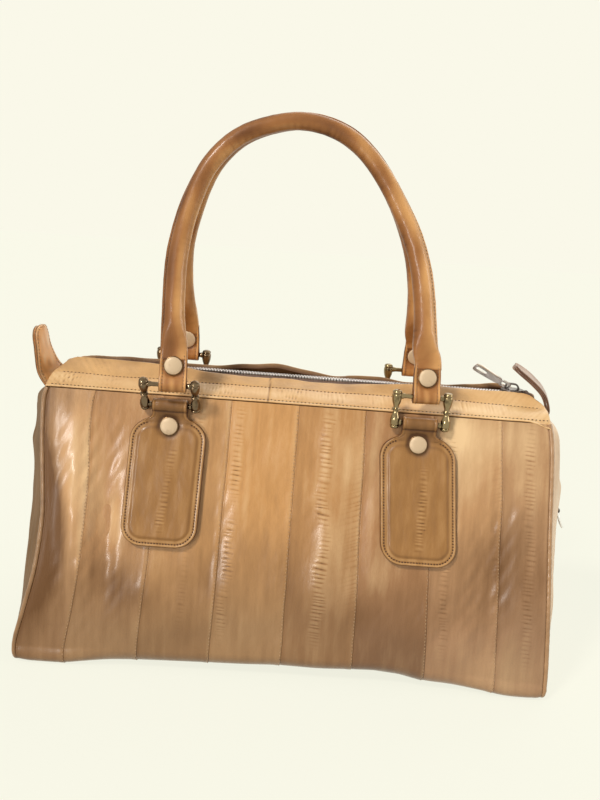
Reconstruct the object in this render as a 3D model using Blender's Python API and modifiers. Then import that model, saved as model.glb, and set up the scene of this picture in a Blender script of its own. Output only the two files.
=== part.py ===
"""A satchel pieced from strips of glossy leather, with a zip top and two rolled handles.

Metres. +X is to the right of someone who faces the front, +Y is to the back and +Z is up.
The origin lies on the ground, under the middle of the bag.
"""
import math

import bmesh
import bpy
from mathutils import Matrix, Vector

for leftover in list(bpy.data.objects):
    bpy.data.objects.remove(leftover)

# Clearances and thicknesses
GAP = 0.0003
BORE_PLAY = 0.0009
LEATHER = 0.0016
LINING = 0.0008
TAPE = 0.0008
BOARD = 0.0024
OVERREACH = 0.01
RIM_BITE = 0.0004

# Body
BASE_HALF_WIDTH = 0.178
TOP_HALF_WIDTH = 0.163
BASE_HALF_DEPTH = 0.066
TOP_HALF_DEPTH = 0.034
SEAM_HEIGHT = 0.1845
BASE_RADIUS = 0.012
TURN_UNDER = 0.010
WALL_LEAN = math.radians(14)
SLOPE_START = 0.072
STRIP_SEAMS = (-0.805, -0.54, -0.27, 0.0, 0.27, 0.54, 0.805)
PIPING_RADIUS = 0.00175

# Ends
GUSSET_HALF_LENGTH = 0.186
GUSSET_FLAT_LOW = 0.035
GUSSET_FLAT_HIGH = 0.134
GUSSET_ROW = 0.016
GUSSET_COLUMNS = 8
END_ROWS = 5
GUSSET_TOP_BULGE = 0.0012
END_ROUND = 0.024
END_COVER = 0.74

# Top bands and main zip
BAND_SLOPE = math.radians(23.6)
MOUTH_HALF_GAP = 0.008
BAND_HINGE_DROP = 0.0018
TAPE_OVERLAP = 0.012
CHAIN_HALF_GAP = 0.0007
CHAIN_WIDTH = 0.0028
CHAIN_HEIGHT = 0.0030
SLIDER_PLACE = 0.145
SLIDER_TRAVEL = 0.283
SLIDER_LENGTH = 0.016
SLIDER_HALF_WIDTH = 0.0062
SLIDER_PLATE = 0.0011
SLIDER_PLAY = 0.0004
BRIDGE_HEIGHT = 0.0040
BRIDGE_WALL = 0.0012
BRIDGE_THICKNESS = 0.0024
BRIDGE_BACK = 0.68
BRIDGE_FRONT = 0.5
CHANNEL_LIP = 0.0010
WEB_END = 0.35
STOP_CLEARANCE = 0.0014
ZIP_END_MARGIN = 0.001
PULL_LENGTH = 0.027
PULL_WIDTH = 0.0084
PULL_THICKNESS = 0.0014
PULL_RISE = math.radians(28)
PULL_PIVOT_PLAY = 0.0013
PULL_ROOT_PLAY = 0.0005
PULL_ARM = 0.0015
PULL_WINDOW_END = 0.0064
PULL_NECK_END = 0.0060
PULL_BODY_START = 0.0090
PULL_HOLE = 0.0032
PULL_HOLE_MARGIN = 0.0025

# Zip tabs
TAB_WIDTH = 0.024
TAB_THICKNESS = 0.0026
STOP_THICKNESS = 0.0022
TAB_SEAM_DROP = 0.004
TAB_TIP_SHARE = 0.72
TAB_REACH = 0.0380
TAB_STANDOFF = 0.0006
# Shares of the reach outwards and upwards from the seam, for points along each tab
RIGHT_TAB_LINE = ((0, 0), (-0.008, 0.158), (-0.147, 0.434), (-0.345, 0.658), (-0.616, 0.882))
LEFT_TAB_LINE = ((0, 0), (0.011, 0.237), (0.116, 0.526), (0.261, 0.789), (0.326, 1.0))

# Side pocket zip
SIDE_ZIP_LOW = 0.040
SIDE_ZIP_HIGH = 0.127
SIDE_SLIDER_PLACE = 0.1125
SIDE_SLOT_HALF_WIDTH = 0.0050
SIDE_CHAIN_WIDTH = 0.0018
SIDE_CHAIN_HEIGHT = 0.0022
SIDE_CHAIN_HALF_GAP = 0.0005
SIDE_WEB_PLAY = 0.0002
SIDE_STOP = 0.0015
SIDE_TAPE_MARGIN = 0.004
SIDE_SLIDER_LENGTH = 0.010
SIDE_SLIDER_HALF_WIDTH = 0.0040
SIDE_PULL_LENGTH = 0.014
SIDE_PULL_WIDTH = 0.0064
POCKET_DEPTH = 0.0085
POCKET_HALF_WIDTH = 0.0100
LINING_END_LEAN = 0.05

# Handle links
LINK_LEFT = -0.084
LINK_RIGHT = 0.079
LINK_STANDOFF = 0.0053
LINK_DROP = 0.005
LINK_AXIS_HEIGHT = SEAM_HEIGHT - LINK_DROP
BAR_SPACING = 0.018
BAR_RADIUS = 0.0015
POST_SPACING = 0.033
POST_HALF_LENGTH = 0.013
POST_RADIUS = 0.00325
POST_WAIST = 0.0018
TILTED_LINK = math.radians(30)
# Share of the post's greatest radius at a distance in from its end, down to the ball's widest ring
POST_BALL = ((0.45, 0.0004), (0.75, 0.0013))
POST_NECK = 0.0030
POST_COLLAR = 0.0013
POST_MIDDLE_RING = 0.0007

# Patches and rivets
PATCH_HALF_WIDTH = 0.025
PATCH_LENGTH = 0.0945
PATCH_SHOULDER = 0.0105
PATCH_CORNER = 0.014
PATCH_THICKNESS = 0.0035
NECK_HALF_WIDTH = 0.0115
NECK_FILLET = 0.0010
NECK_FILLET_RISE = 0.0030
LOOP_WALL = 0.0018
PATCH_LEAN_LEFT = math.radians(1.6)
PATCH_LEAN_RIGHT = math.radians(4.5)
CAP_RADIUS = 0.00625
CAP_THICKNESS = 0.0014
CAP_CROWN = 0.0008
CAP_DROP = 0.0150
RIVET_RADIUS = 0.0016

# Handles
HANDLE_RISE = 0.1725
HANDLE_REACH = 0.180
HANDLE_TOP_HEIGHT = SEAM_HEIGHT + HANDLE_REACH
HANDLE_RADIUS = 0.0056
HANDLE_LEG_RADIUS = 0.0066
HANDLE_FIN = 0.0024
CORE_RADIUS = 0.0030
CORE_PLAY = 0.0010
# Share of the half span and of the rise above the loops, for points along the handle
HANDLE_LINE = ((-1.02, 0.3188), (-1.0, 0.4986), (-0.895, 0.6899), (-0.735, 0.8406), (-0.48, 0.9478),
               (-0.10, 1.0), (0.25, 0.9693), (0.485, 0.8812), (0.66, 0.7304), (0.84, 0.5449),
               (0.95, 0.3710), (0.99, 0.1913))
STRAP_WIDTH = 0.018
STRAP_THICKNESS = 0.0046
STRAP_SHIFT = 0.0022
STRAP_LENGTH = 0.022
STRAP_RIVET_RISE = 0.0125
SLIT = 0.0006

parts = bpy.data.collections.new("satchel")
cutters = bpy.data.collections.new("cutters")
for collection in (parts, cutters):
    bpy.context.scene.collection.children.link(collection)


# Materials

def material(name, colour, roughness, metallic=0.0):
    made = bpy.data.materials.new(name)
    made.use_nodes = True
    shader = made.node_tree.nodes["Principled BSDF"]
    shader.inputs["Base Color"].default_value = (*colour, 1.0)
    shader.inputs["Roughness"].default_value = roughness
    shader.inputs["Metallic"].default_value = metallic
    return made


STRIP_LEATHER = material("strip_leather", (0.47, 0.28, 0.13), 0.35)
TRIM_LEATHER = material("trim_leather", (0.50, 0.30, 0.15), 0.38)
HANDLE_LEATHER = material("handle_leather", (0.42, 0.21, 0.08), 0.35)
GUSSET_LEATHER = material("gusset_leather", (0.33, 0.22, 0.14), 0.5)
LINING_CLOTH = material("lining_cloth", (0.25, 0.18, 0.12), 0.9)
STIFF_BOARD = material("stiff_board", (0.36, 0.29, 0.20), 0.95)
CORD_CORE = material("cord_core", (0.75, 0.70, 0.60), 0.9)
AGED_METAL = material("aged_metal", (0.45, 0.38, 0.24), 0.3, 1.0)
CAP_METAL = material("cap_metal", (0.62, 0.57, 0.49), 0.3, 0.4)
ZIP_CLOTH = material("zip_cloth", (0.20, 0.13, 0.08), 0.9)
ZIP_METAL = material("zip_metal", (0.60, 0.58, 0.62), 0.3, 1.0)


# Meshes and objects

def place(name, mesh, finish, matrix=None, collection=parts):
    made = bpy.data.objects.new(name, mesh)
    made.matrix_world = matrix or Matrix.Identity(4)
    if finish:
        mesh.materials.append(finish)
    collection.objects.link(made)
    return made


def closed_mesh(name, build):
    """Fills a mesh with build and turns its faces outwards."""
    work = bmesh.new()
    build(work)
    bmesh.ops.recalc_face_normals(work, faces=work.faces)
    mesh = bpy.data.meshes.new(name)
    work.to_mesh(mesh)
    work.free()
    return mesh


def add_box(work, low, high):
    low, high = Vector(low), Vector(high)
    middle = Matrix.Translation((low + high) / 2)
    bmesh.ops.create_cube(work, size=1, matrix=middle @ Matrix.Diagonal((*(high - low), 1)))


def add_rod(work, start, end, radius, sides=16):
    start, end = Vector(start), Vector(end)
    turn = (end - start).to_track_quat("Z", "Y").to_matrix().to_4x4()
    bmesh.ops.create_cone(work, cap_ends=True, segments=sides, radius1=radius, radius2=radius,
                          depth=(end - start).length, matrix=Matrix.Translation((start + end) / 2) @ turn)


def boxes(name, corners, finish=None, matrix=None, collection=parts):
    def build(work):
        for low, high in corners:
            add_box(work, low, high)
    return place(name, closed_mesh(name, build), finish, matrix, collection)


def rods(name, ends, radius, finish=None, matrix=None, collection=parts, sides=16):
    def build(work):
        for start, end in ends:
            add_rod(work, start, end, radius, sides)
    return place(name, closed_mesh(name, build), finish, matrix, collection)


def hide(cutter):
    cutter.hide_render = True
    cutter.display_type = "WIRE"
    return cutter


def box_cutter(name, corners, matrix=None):
    return hide(boxes(name, corners, matrix=matrix, collection=cutters))


def rod_cutter(name, ends, radius, matrix=None, sides=16):
    return hide(rods(name, ends, radius, matrix=matrix, collection=cutters, sides=sides))


def boolean(target, operation, *tools):
    for tool in tools:
        step = target.modifiers.new(operation.lower(), "BOOLEAN")
        step.operation = operation
        step.object = tool


def thick_sheet(name, across, along, point, thickness, outward, finish):
    """A grid whose point(u, v) runs over 0..1, thickened away from the outward side."""
    work = bmesh.new()
    bmesh.ops.create_grid(work, x_segments=across, y_segments=along, size=0.5)
    for vertex in work.verts:
        vertex.co = point(vertex.co.x + 0.5, vertex.co.y + 0.5)
    work.normal_update()
    facing = sum((face.normal * face.calc_area() for face in work.faces), Vector())
    if facing.dot(Vector(outward)) < 0:
        bmesh.ops.reverse_faces(work, faces=work.faces)
    mesh = bpy.data.meshes.new(name)
    work.to_mesh(mesh)
    work.free()
    made = place(name, mesh, finish)
    wall = made.modifiers.new("wall", "SOLIDIFY")
    wall.thickness = thickness
    wall.offset = -1
    wall.use_even_offset = True
    return made


def curve_to_mesh(curve_object):
    """The same shape as a mesh with welded caps."""
    bpy.context.view_layer.update()
    evaluated = curve_object.evaluated_get(bpy.context.evaluated_depsgraph_get())
    mesh = bpy.data.meshes.new_from_object(evaluated)
    work = bmesh.new()
    work.from_mesh(mesh)
    bmesh.ops.remove_doubles(work, verts=work.verts, dist=0.00001)
    bmesh.ops.recalc_face_normals(work, faces=work.faces)
    work.to_mesh(mesh)
    work.free()
    name, matrix = curve_object.name, curve_object.matrix_world.copy()
    bpy.data.objects.remove(curve_object)
    return place(name, mesh, None, matrix)


def plate(name, outlines, thickness, matrix, finish):
    """A flat plate with its outline in the matrix's X and Y, and its thickness about its plane."""
    curve = bpy.data.curves.new(name, "CURVE")
    curve.dimensions = "2D"
    curve.fill_mode = "BOTH"
    curve.extrude = thickness / 2
    for outline in outlines:
        spline = curve.splines.new("POLY")
        spline.points.add(len(outline) - 1)
        for target, (x, y) in zip(spline.points, outline):
            target.co = (x, y, 0, 1)
        spline.use_cyclic_u = True
    curve.materials.append(finish)
    made = bpy.data.objects.new(name, curve)
    made.matrix_world = matrix
    parts.objects.link(made)
    return curve_to_mesh(made)


def tube(name, points, radius, finish):
    curve = bpy.data.curves.new(name, "CURVE")
    curve.dimensions = "3D"
    curve.bevel_depth = radius
    curve.bevel_resolution = 2
    curve.use_fill_caps = True
    spline = curve.splines.new("POLY")
    spline.points.add(len(points) - 1)
    for target, point in zip(spline.points, points):
        target.co = (*point, 1)
    if finish:
        curve.materials.append(finish)
    made = bpy.data.objects.new(name, curve)
    parts.objects.link(made)
    return curve_to_mesh(made)


def turned(name, profile, finish, matrix, steps=12, collection=parts):
    """A profile of radius and height, top to bottom, turned about the matrix's Z axis."""
    def build(work):
        corners = [work.verts.new(Vector((radius, 0, height))) for radius, height in profile]
        edges = [work.edges.new(pair) for pair in zip(corners, corners[1:])]
        bmesh.ops.spin(work, geom=corners + edges, cent=(0, 0, 0), axis=(0, 0, 1), angle=math.tau,
                       steps=steps)
        bmesh.ops.remove_doubles(work, verts=work.verts, dist=0.00001)
    made = place(name, closed_mesh(name, build), finish, matrix, collection)
    made.data.shade_smooth()
    made.data.set_sharp_from_angle(angle=math.radians(40))
    return made


def arc(centre, radius, start, end, steps):
    """Points of an arc, with its angles in degrees."""
    angles = [math.radians(start + (end - start) * step / steps) for step in range(steps + 1)]
    return [(centre[0] + radius * math.cos(angle), centre[1] + radius * math.sin(angle)) for angle in angles]


# Shape of the body

def mix(a, b, share):
    return a + (b - a) * share


def half_width(height):
    return mix(BASE_HALF_WIDTH, TOP_HALF_WIDTH, height / SEAM_HEIGHT)


def slope_half_depth(height):
    """Half depth of the flat, leaning upper wall."""
    return TOP_HALF_DEPTH + (SEAM_HEIGHT - height) * math.tan(WALL_LEAN)


def wall_profile(inset=0.0, top=SEAM_HEIGHT - BAND_HINGE_DROP):
    """Half depth and height of the wall from its turned-under edge to its top, moved in by inset."""
    flat = BASE_HALF_DEPTH - BASE_RADIUS
    points = [(flat - TURN_UNDER, inset)]
    points += arc((flat, BASE_RADIUS), BASE_RADIUS - inset, -90, 0, 4)
    lean_in = inset / math.cos(WALL_LEAN)
    start = Vector((BASE_HALF_DEPTH - inset, BASE_RADIUS))
    end = Vector((slope_half_depth(SLOPE_START) - lean_in, SLOPE_START))
    bend_height = SLOPE_START - (start.x - end.x) / math.tan(WALL_LEAN)
    bend = Vector((start.x, bend_height))
    for step in range(1, 4):
        share = step / 3
        point = start * (1 - share) ** 2 + bend * 2 * share * (1 - share) + end * share ** 2
        points.append((point.x, point.y))
    points.append((slope_half_depth(top) - lean_in, top))
    return points


# The gusset curves inwards beside the pocket by the sag of its first grid column, a quarter of the way out
SIDE_SAG = (GUSSET_HALF_LENGTH - half_width(SIDE_ZIP_HIGH)) / 16
SIDE_TAPE_FRONT = GUSSET_HALF_LENGTH - LEATHER - SIDE_SAG - GAP
SIDE_CHAIN_MIDDLE = SIDE_TAPE_FRONT - TAPE / 2
POCKET_FRONT = SIDE_TAPE_FRONT - TAPE - GAP
POCKET_BACK = POCKET_FRONT - POCKET_DEPTH
EDGE_INSET = 2 * PIPING_RADIUS + GAP
LINING_INSET = LEATHER + GAP
BAND_WIDTH = (TOP_HALF_DEPTH - MOUTH_HALF_GAP) / math.cos(BAND_SLOPE)


def wall_frame(side, x):
    """Axes of the flat wall: X across, Y up the slope and Z outwards, from the lower bar's height."""
    depth = slope_half_depth(LINK_AXIS_HEIGHT)
    across = Vector((-side, 0, 0))
    upward = Vector((0, -side * math.sin(WALL_LEAN), math.cos(WALL_LEAN)))
    outward = Vector((0, side * math.cos(WALL_LEAN), math.sin(WALL_LEAN)))
    frame = Matrix((across, upward, outward)).transposed().to_4x4()
    frame.translation = Vector((x, side * depth, LINK_AXIS_HEIGHT))
    return frame


def end_edge(share):
    """Half length, half depth and height of the rounded end of the top, from its seam to the zip."""
    rise = share * BAND_WIDTH
    length = TOP_HALF_WIDTH - END_ROUND * (1 - math.sqrt(1 - share ** 2))
    return length, TOP_HALF_DEPTH - rise * math.cos(BAND_SLOPE), SEAM_HEIGHT + rise * math.sin(BAND_SLOPE)


def make_strips(side, label):
    """Eight strips, fanned from top to bottom and turned under at the base."""
    profile = wall_profile()
    shares = (-1.0, *STRIP_SEAMS, 1.0)
    strips = []
    for number in range(len(shares) - 1):
        left_inset = EDGE_INSET if number == 0 else GAP / 2
        right_inset = EDGE_INSET if number == len(shares) - 2 else GAP / 2

        def point(u, v):
            depth, height = profile[round(v * (len(profile) - 1))]
            left = shares[number] * half_width(height) + left_inset
            right = shares[number + 1] * half_width(height) - right_inset
            return Vector((mix(left, right, u), side * depth, height))
        strips.append(thick_sheet(f"{label}_strip_{number + 1}", 1, len(profile) - 1, point, LEATHER,
                                  (0, side, -0.2), STRIP_LEATHER))
    return strips, shares


def gusset_reach(height):
    """Half length of the bag at the middle of its end, which swells and then runs straight up."""
    def ease(share):
        return share * share * (3 - 2 * share)
    if height < GUSSET_FLAT_LOW:
        return mix(BASE_HALF_WIDTH, GUSSET_HALF_LENGTH, ease(height / GUSSET_FLAT_LOW))
    if height < GUSSET_FLAT_HIGH:
        return GUSSET_HALF_LENGTH
    share = (height - GUSSET_FLAT_HIGH) / (SEAM_HEIGHT - GUSSET_FLAT_HIGH)
    return mix(GUSSET_HALF_LENGTH, TOP_HALF_WIDTH + GUSSET_TOP_BULGE, ease(min(share, 1.0)))


def gusset_rows():
    """Half length at the edge and in the middle, half depth and height, from the base to the zip end."""
    rows = []
    profile = wall_profile(EDGE_INSET, SEAM_HEIGHT)[1:]
    for height in (GUSSET_FLAT_LOW, GUSSET_FLAT_HIGH):
        after = next(index for index, (depth, z) in enumerate(profile) if z > height)
        (low_depth, low), (high_depth, high) = profile[after - 1], profile[after]
        profile.insert(after, (mix(low_depth, high_depth, (height - low) / (high - low)), height))
    for (low_depth, low), (high_depth, high) in zip(profile, profile[1:]):
        steps = max(1, round((high - low) / GUSSET_ROW))
        for step in range(steps):
            height = mix(low, high, step / steps)
            depth = mix(low_depth, high_depth, step / steps)
            rows.append((half_width(height), gusset_reach(height), depth, height))
    for step in range(END_ROWS + 1):
        length, depth, height = end_edge(END_COVER * step / END_ROWS)
        bulge = GUSSET_TOP_BULGE * (1 - step / END_ROWS)
        rows.append((length, length + bulge, depth - EDGE_INSET, height))
    return rows


def make_gusset(side, name):
    rows = gusset_rows()

    def point(u, v):
        edge, middle, depth, height = rows[round(v * (len(rows) - 1))]
        across = 2 * u - 1
        return Vector((side * mix(edge, middle, 1 - across ** 2), across * depth, height))
    return thick_sheet(name, GUSSET_COLUMNS, len(rows) - 1, point, LEATHER, (side, 0, 0.2), GUSSET_LEATHER)


def make_piping(side, name):
    """One cord of piping down the front corner, along the base and up the back corner."""
    profile = wall_profile(PIPING_RADIUS)[1:]
    front = [Vector((side * (half_width(z) - PIPING_RADIUS), -depth, z)) for depth, z in reversed(profile)]
    back = [Vector((point.x, -point.y, point.z)) for point in reversed(front)]
    return tube(name, front + back, PIPING_RADIUS, TRIM_LEATHER)


def make_base():
    edge = BASE_HALF_WIDTH - EDGE_INSET
    breadth = BASE_HALF_DEPTH - BASE_RADIUS - TURN_UNDER - GAP
    boxes("bottom_panel", [((-edge, -breadth, 0), (edge, breadth, LEATHER))], STRIP_LEATHER)
    board_low = LINING_INSET + LINING + GAP
    length = half_width(board_low) - EDGE_INSET - LINING_INSET - LINING - GAP
    width = BASE_HALF_DEPTH - BASE_RADIUS
    boxes("base_board", [((-length, -width, board_low), (length, width, board_low + BOARD))], STIFF_BOARD)


def make_lining():
    """An open bag of cloth just inside the walls, whose straight ends clear the side pocket."""
    profile = wall_profile(LINING_INSET, SEAM_HEIGHT - BAND_HINGE_DROP - LINING)[1:]
    ring = 4

    def section(depth, height):
        below_pocket = max(0, SIDE_ZIP_LOW - SIDE_TAPE_MARGIN - height)
        clear = POCKET_BACK - GAP + below_pocket * LINING_END_LEAN
        length = min(half_width(height) - EDGE_INSET, clear)
        corners = [(-length, -depth), (length, -depth), (length, depth), (-length, depth)]
        return [Vector((x, y, height)) for x, y in corners]
    work = bmesh.new()
    rings = [[work.verts.new(corner) for corner in section(depth, height)] for depth, height in profile]
    for low, high in zip(rings, rings[1:]):
        for index in range(ring):
            work.faces.new((low[index], low[(index + 1) % ring], high[(index + 1) % ring], high[index]))
    work.faces.new(list(reversed(rings[0])))
    mesh = bpy.data.meshes.new("lining")
    work.to_mesh(mesh)
    work.free()
    made = place("lining", mesh, LINING_CLOTH)
    wall = made.modifiers.new("wall", "SOLIDIFY")
    wall.thickness = LINING
    wall.offset = -1
    wall.use_even_offset = True
    return made


# Top bands and zip chain

def band_frame(side):
    """X across, Y up the band's slope and Z outwards, from the seam that the band turns on."""
    across = Vector((-side, 0, 0))
    upward = Vector((0, -side * math.cos(BAND_SLOPE), math.sin(BAND_SLOPE)))
    outward = Vector((0, side * math.sin(BAND_SLOPE), math.cos(BAND_SLOPE)))
    frame = Matrix((across, upward, outward)).transposed().to_4x4()
    frame.translation = Vector((0, side * TOP_HALF_DEPTH, SEAM_HEIGHT))
    return frame


CHAIN_OUTER = CHAIN_HALF_GAP + CHAIN_WIDTH
TAPE_DROP = LEATHER + GAP + TAPE / 2
TAPE_EDGE = (TOP_HALF_DEPTH - CHAIN_OUTER - GAP - TAPE_DROP * math.sin(BAND_SLOPE)) / math.cos(BAND_SLOPE)
TAPE_EDGE -= TAPE / 2 * math.tan(BAND_SLOPE)
ZIP_HEIGHT = SEAM_HEIGHT + TAPE_EDGE * math.sin(BAND_SLOPE) - TAPE_DROP * math.cos(BAND_SLOPE) + TAPE / 2
CHAIN_RIGHT = SLIDER_PLACE - SLIDER_LENGTH / 2 - GAP
CHAIN_LEFT = SLIDER_PLACE - SLIDER_TRAVEL + SLIDER_LENGTH / 2 + GAP


def make_mouth(side, label):
    frame = band_frame(side)
    quarter = [math.radians(angle) for angle in (0, 20, 40, 60, 78, 90)]
    right = [(TOP_HALF_WIDTH - END_ROUND * (1 - math.cos(angle)), GAP + (BAND_WIDTH - GAP) * math.sin(angle))
             for angle in quarter]
    left = [(-x, y) for x, y in reversed(right)]
    depth = Matrix.Translation((0, 0, -LEATHER / 2))
    plate(f"{label}_top_band", [right + left], LEATHER, frame @ depth, TRIM_LEATHER)
    ends = sorted((-side * CHAIN_LEFT, -side * CHAIN_RIGHT))
    low = BAND_WIDTH - TAPE_OVERLAP
    outline = [(ends[0], low), (ends[1], low), (ends[1], TAPE_EDGE), (ends[0], TAPE_EDGE)]
    depth = Matrix.Translation((0, 0, -TAPE_DROP))
    plate(f"{label}_zip_tape", [outline], TAPE, frame @ depth, ZIP_CLOTH)
    near, far = sorted((side * CHAIN_HALF_GAP, side * CHAIN_OUTER))
    boxes(f"{label}_zip_teeth", [((CHAIN_LEFT, near, ZIP_HEIGHT - CHAIN_HEIGHT / 2),
                                  (CHAIN_RIGHT, far, ZIP_HEIGHT + CHAIN_HEIGHT / 2))], ZIP_METAL)


STOP_INNER = SLIDER_PLACE + SLIDER_LENGTH / 2 + STOP_CLEARANCE


def make_zip_end(side, name, start):
    """The chain's fixed end with its tape, joined by the stop that is sewn to the gusset's top."""
    low, high = ZIP_HEIGHT - CHAIN_HEIGHT / 2, ZIP_HEIGHT + CHAIN_HEIGHT / 2
    stop_outer = STOP_INNER + STOP_THICKNESS
    wide = MOUTH_HALF_GAP - ZIP_END_MARGIN

    def block(x_near, x_far, y_near, y_far, bottom, top):
        xs = sorted((side * x_near, side * x_far))
        ys = sorted((y_near, y_far))
        return (xs[0], ys[0], bottom), (xs[1], ys[1], top)
    stop_low = end_stop_height()
    made = boxes(name, [block(STOP_INNER, stop_outer, -wide, wide, stop_low, high)], ZIP_METAL)
    for y_side in (-1, 1):
        near, far = y_side * CHAIN_HALF_GAP, y_side * CHAIN_OUTER
        reach = STOP_INNER + STOP_THICKNESS / 2
        bead = block(start, reach, near, far, low, high)
        cloth = block(start, reach, y_side * (CHAIN_OUTER - TAPE), y_side * wide,
                      ZIP_HEIGHT - TAPE / 2, ZIP_HEIGHT + TAPE / 2)
        boolean(made, "UNION", box_cutter(f"{name}_bead_{y_side}", [bead]),
                box_cutter(f"{name}_cloth_{y_side}", [cloth]))
    return made


def end_stop_height():
    """Just above the gusset's rounded top where the stop stands on it."""
    inward = TOP_HALF_WIDTH - STOP_INNER
    share = math.sqrt(1 - (1 - inward / END_ROUND) ** 2)
    return SEAM_HEIGHT + share * BAND_WIDTH * math.sin(BAND_SLOPE) + GAP


def make_tab(name, centreline):
    """A leather tab that follows its centreline in the XZ plane."""
    def build(work):
        points = [Vector((x, 0, z)) for x, z in centreline]
        rows = []
        for index, point in enumerate(points):
            ahead = points[min(index + 1, len(points) - 1)] - points[max(index - 1, 0)]
            normal = Vector((ahead.z, 0, -ahead.x)).normalized() * TAB_THICKNESS / 2
            taper = TAB_WIDTH / 2 * (TAB_TIP_SHARE if index == len(points) - 1 else 1.0)
            ring = [point + normal + Vector((0, -taper, 0)), point + normal + Vector((0, taper, 0)),
                    point - normal + Vector((0, taper, 0)), point - normal + Vector((0, -taper, 0))]
            rows.append([work.verts.new(corner) for corner in ring])
        bridge_rings(work, rows)
    return place(name, closed_mesh(name, build), TRIM_LEATHER)


def bridge_rings(work, rings):
    """Quads between rings that follow each other, with a face over both ends."""
    count = len(rings[0])
    for low, high in zip(rings, rings[1:]):
        for index in range(count):
            work.faces.new((low[index], low[(index + 1) % count], high[(index + 1) % count], high[index]))
    work.faces.new(rings[0])
    work.faces.new(rings[-1])


def make_tabs():
    height = SEAM_HEIGHT - TAB_SEAM_DROP
    base = gusset_reach(height) + 2 * GAP + TAB_THICKNESS / 2 + TAB_STANDOFF
    for side, name, line in ((1, "right_zip_tab", RIGHT_TAB_LINE), (-1, "left_zip_tab", LEFT_TAB_LINE)):
        make_tab(name, [(side * (base + outward * TAB_REACH), height + upward * TAB_REACH)
                        for outward, upward in line])


def make_slider(name, frame, length, half_width_, chain_outer, chain_height, web, finish):
    """A slider along the frame's X, with Z outwards: plates, lips, the web in the chain and a bridge."""
    top = chain_height / 2 + SLIDER_PLAY
    slot_top = top - CHANNEL_LIP
    bottom = -chain_height / 2 - 2 * SLIDER_PLAY
    outer = top + SLIDER_PLATE
    half = length / 2
    body = boxes(name, [((-half, -half_width_, bottom - SLIDER_PLATE), (half, half_width_, outer))],
                 finish, frame)
    channel = chain_outer + SLIDER_PLAY
    for y_side in (-1, 1):
        inner, wide = y_side * web / 2, y_side * channel
        ys = sorted((inner, wide))
        cut = ((-half - OVERREACH, ys[0], bottom), (half + OVERREACH, ys[1], top))
        ys = sorted((inner, y_side * (half_width_ + OVERREACH)))
        slot = ((-half - OVERREACH, ys[0], bottom), (half + OVERREACH, ys[1], slot_top))
        boolean(body, "DIFFERENCE", box_cutter(f"{name}_channel_{y_side}", [cut], frame),
                box_cutter(f"{name}_slot_{y_side}", [slot], frame))
    clear = ((-half - OVERREACH, -web, bottom), (half - length * WEB_END, web, top))
    boolean(body, "DIFFERENCE", box_cutter(f"{name}_web_end", [clear], frame))
    back, front = -half * BRIDGE_BACK, half * BRIDGE_FRONT
    arch = box_cutter(f"{name}_arch", [((back, -BRIDGE_THICKNESS / 2, outer - RIM_BITE),
                                        (front, BRIDGE_THICKNESS / 2, outer + BRIDGE_HEIGHT))], frame)
    window = box_cutter(f"{name}_window", [((back + BRIDGE_WALL, -BRIDGE_THICKNESS, outer),
                                            (front - BRIDGE_WALL, BRIDGE_THICKNESS,
                                             outer + BRIDGE_HEIGHT - BRIDGE_WALL))], frame)
    boolean(body, "UNION", arch)
    boolean(body, "DIFFERENCE", window)
    pivot = Vector((back + BRIDGE_WALL + PULL_PIVOT_PLAY, 0, outer + (BRIDGE_HEIGHT - BRIDGE_WALL) / 2))
    return frame @ pivot


def make_pull(name, pivot, direction, across, length, width, finish):
    """A flat pull whose end bar passes through the slider's bridge."""
    along = direction.normalized()
    frame = Matrix((along, across, along.cross(across))).transposed().to_4x4()
    frame.translation = pivot
    bar = PULL_THICKNESS / 2
    root = BRIDGE_THICKNESS / 2 + PULL_ROOT_PLAY
    neck = root + PULL_ARM
    corner = width / 2 * 0.6
    outline = [(-bar, -neck), (PULL_NECK_END, -neck), (PULL_BODY_START, -width / 2)]
    outline += arc((length - corner, -width / 2 + corner), corner, -90, 0, 3)
    outline += arc((length - corner, width / 2 - corner), corner, 0, 90, 3)
    outline += [(PULL_BODY_START, width / 2), (PULL_NECK_END, neck), (-bar, neck)]
    window = [(bar, -root), (PULL_WINDOW_END, -root), (PULL_WINDOW_END, root), (bar, root)]
    far = length - PULL_HOLE_MARGIN
    half_hole = PULL_HOLE / 2
    hole = [(far, -half_hole), (far, half_hole), (far - PULL_HOLE, half_hole), (far - PULL_HOLE, -half_hole)]
    return plate(name, [outline, window, hole], PULL_THICKNESS, frame, finish)


def make_main_slider():
    frame = Matrix.Translation((SLIDER_PLACE, 0, ZIP_HEIGHT))
    pivot = make_slider("main_slider", frame, SLIDER_LENGTH, SLIDER_HALF_WIDTH, CHAIN_OUTER, CHAIN_HEIGHT,
                        2 * (CHAIN_HALF_GAP - GAP), ZIP_METAL)
    direction = Vector((-math.cos(PULL_RISE), 0, math.sin(PULL_RISE)))
    make_pull("main_pull", pivot, direction, Vector((0, 1, 0)), PULL_LENGTH, PULL_WIDTH, ZIP_METAL)
    return pivot


# Side pocket

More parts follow.
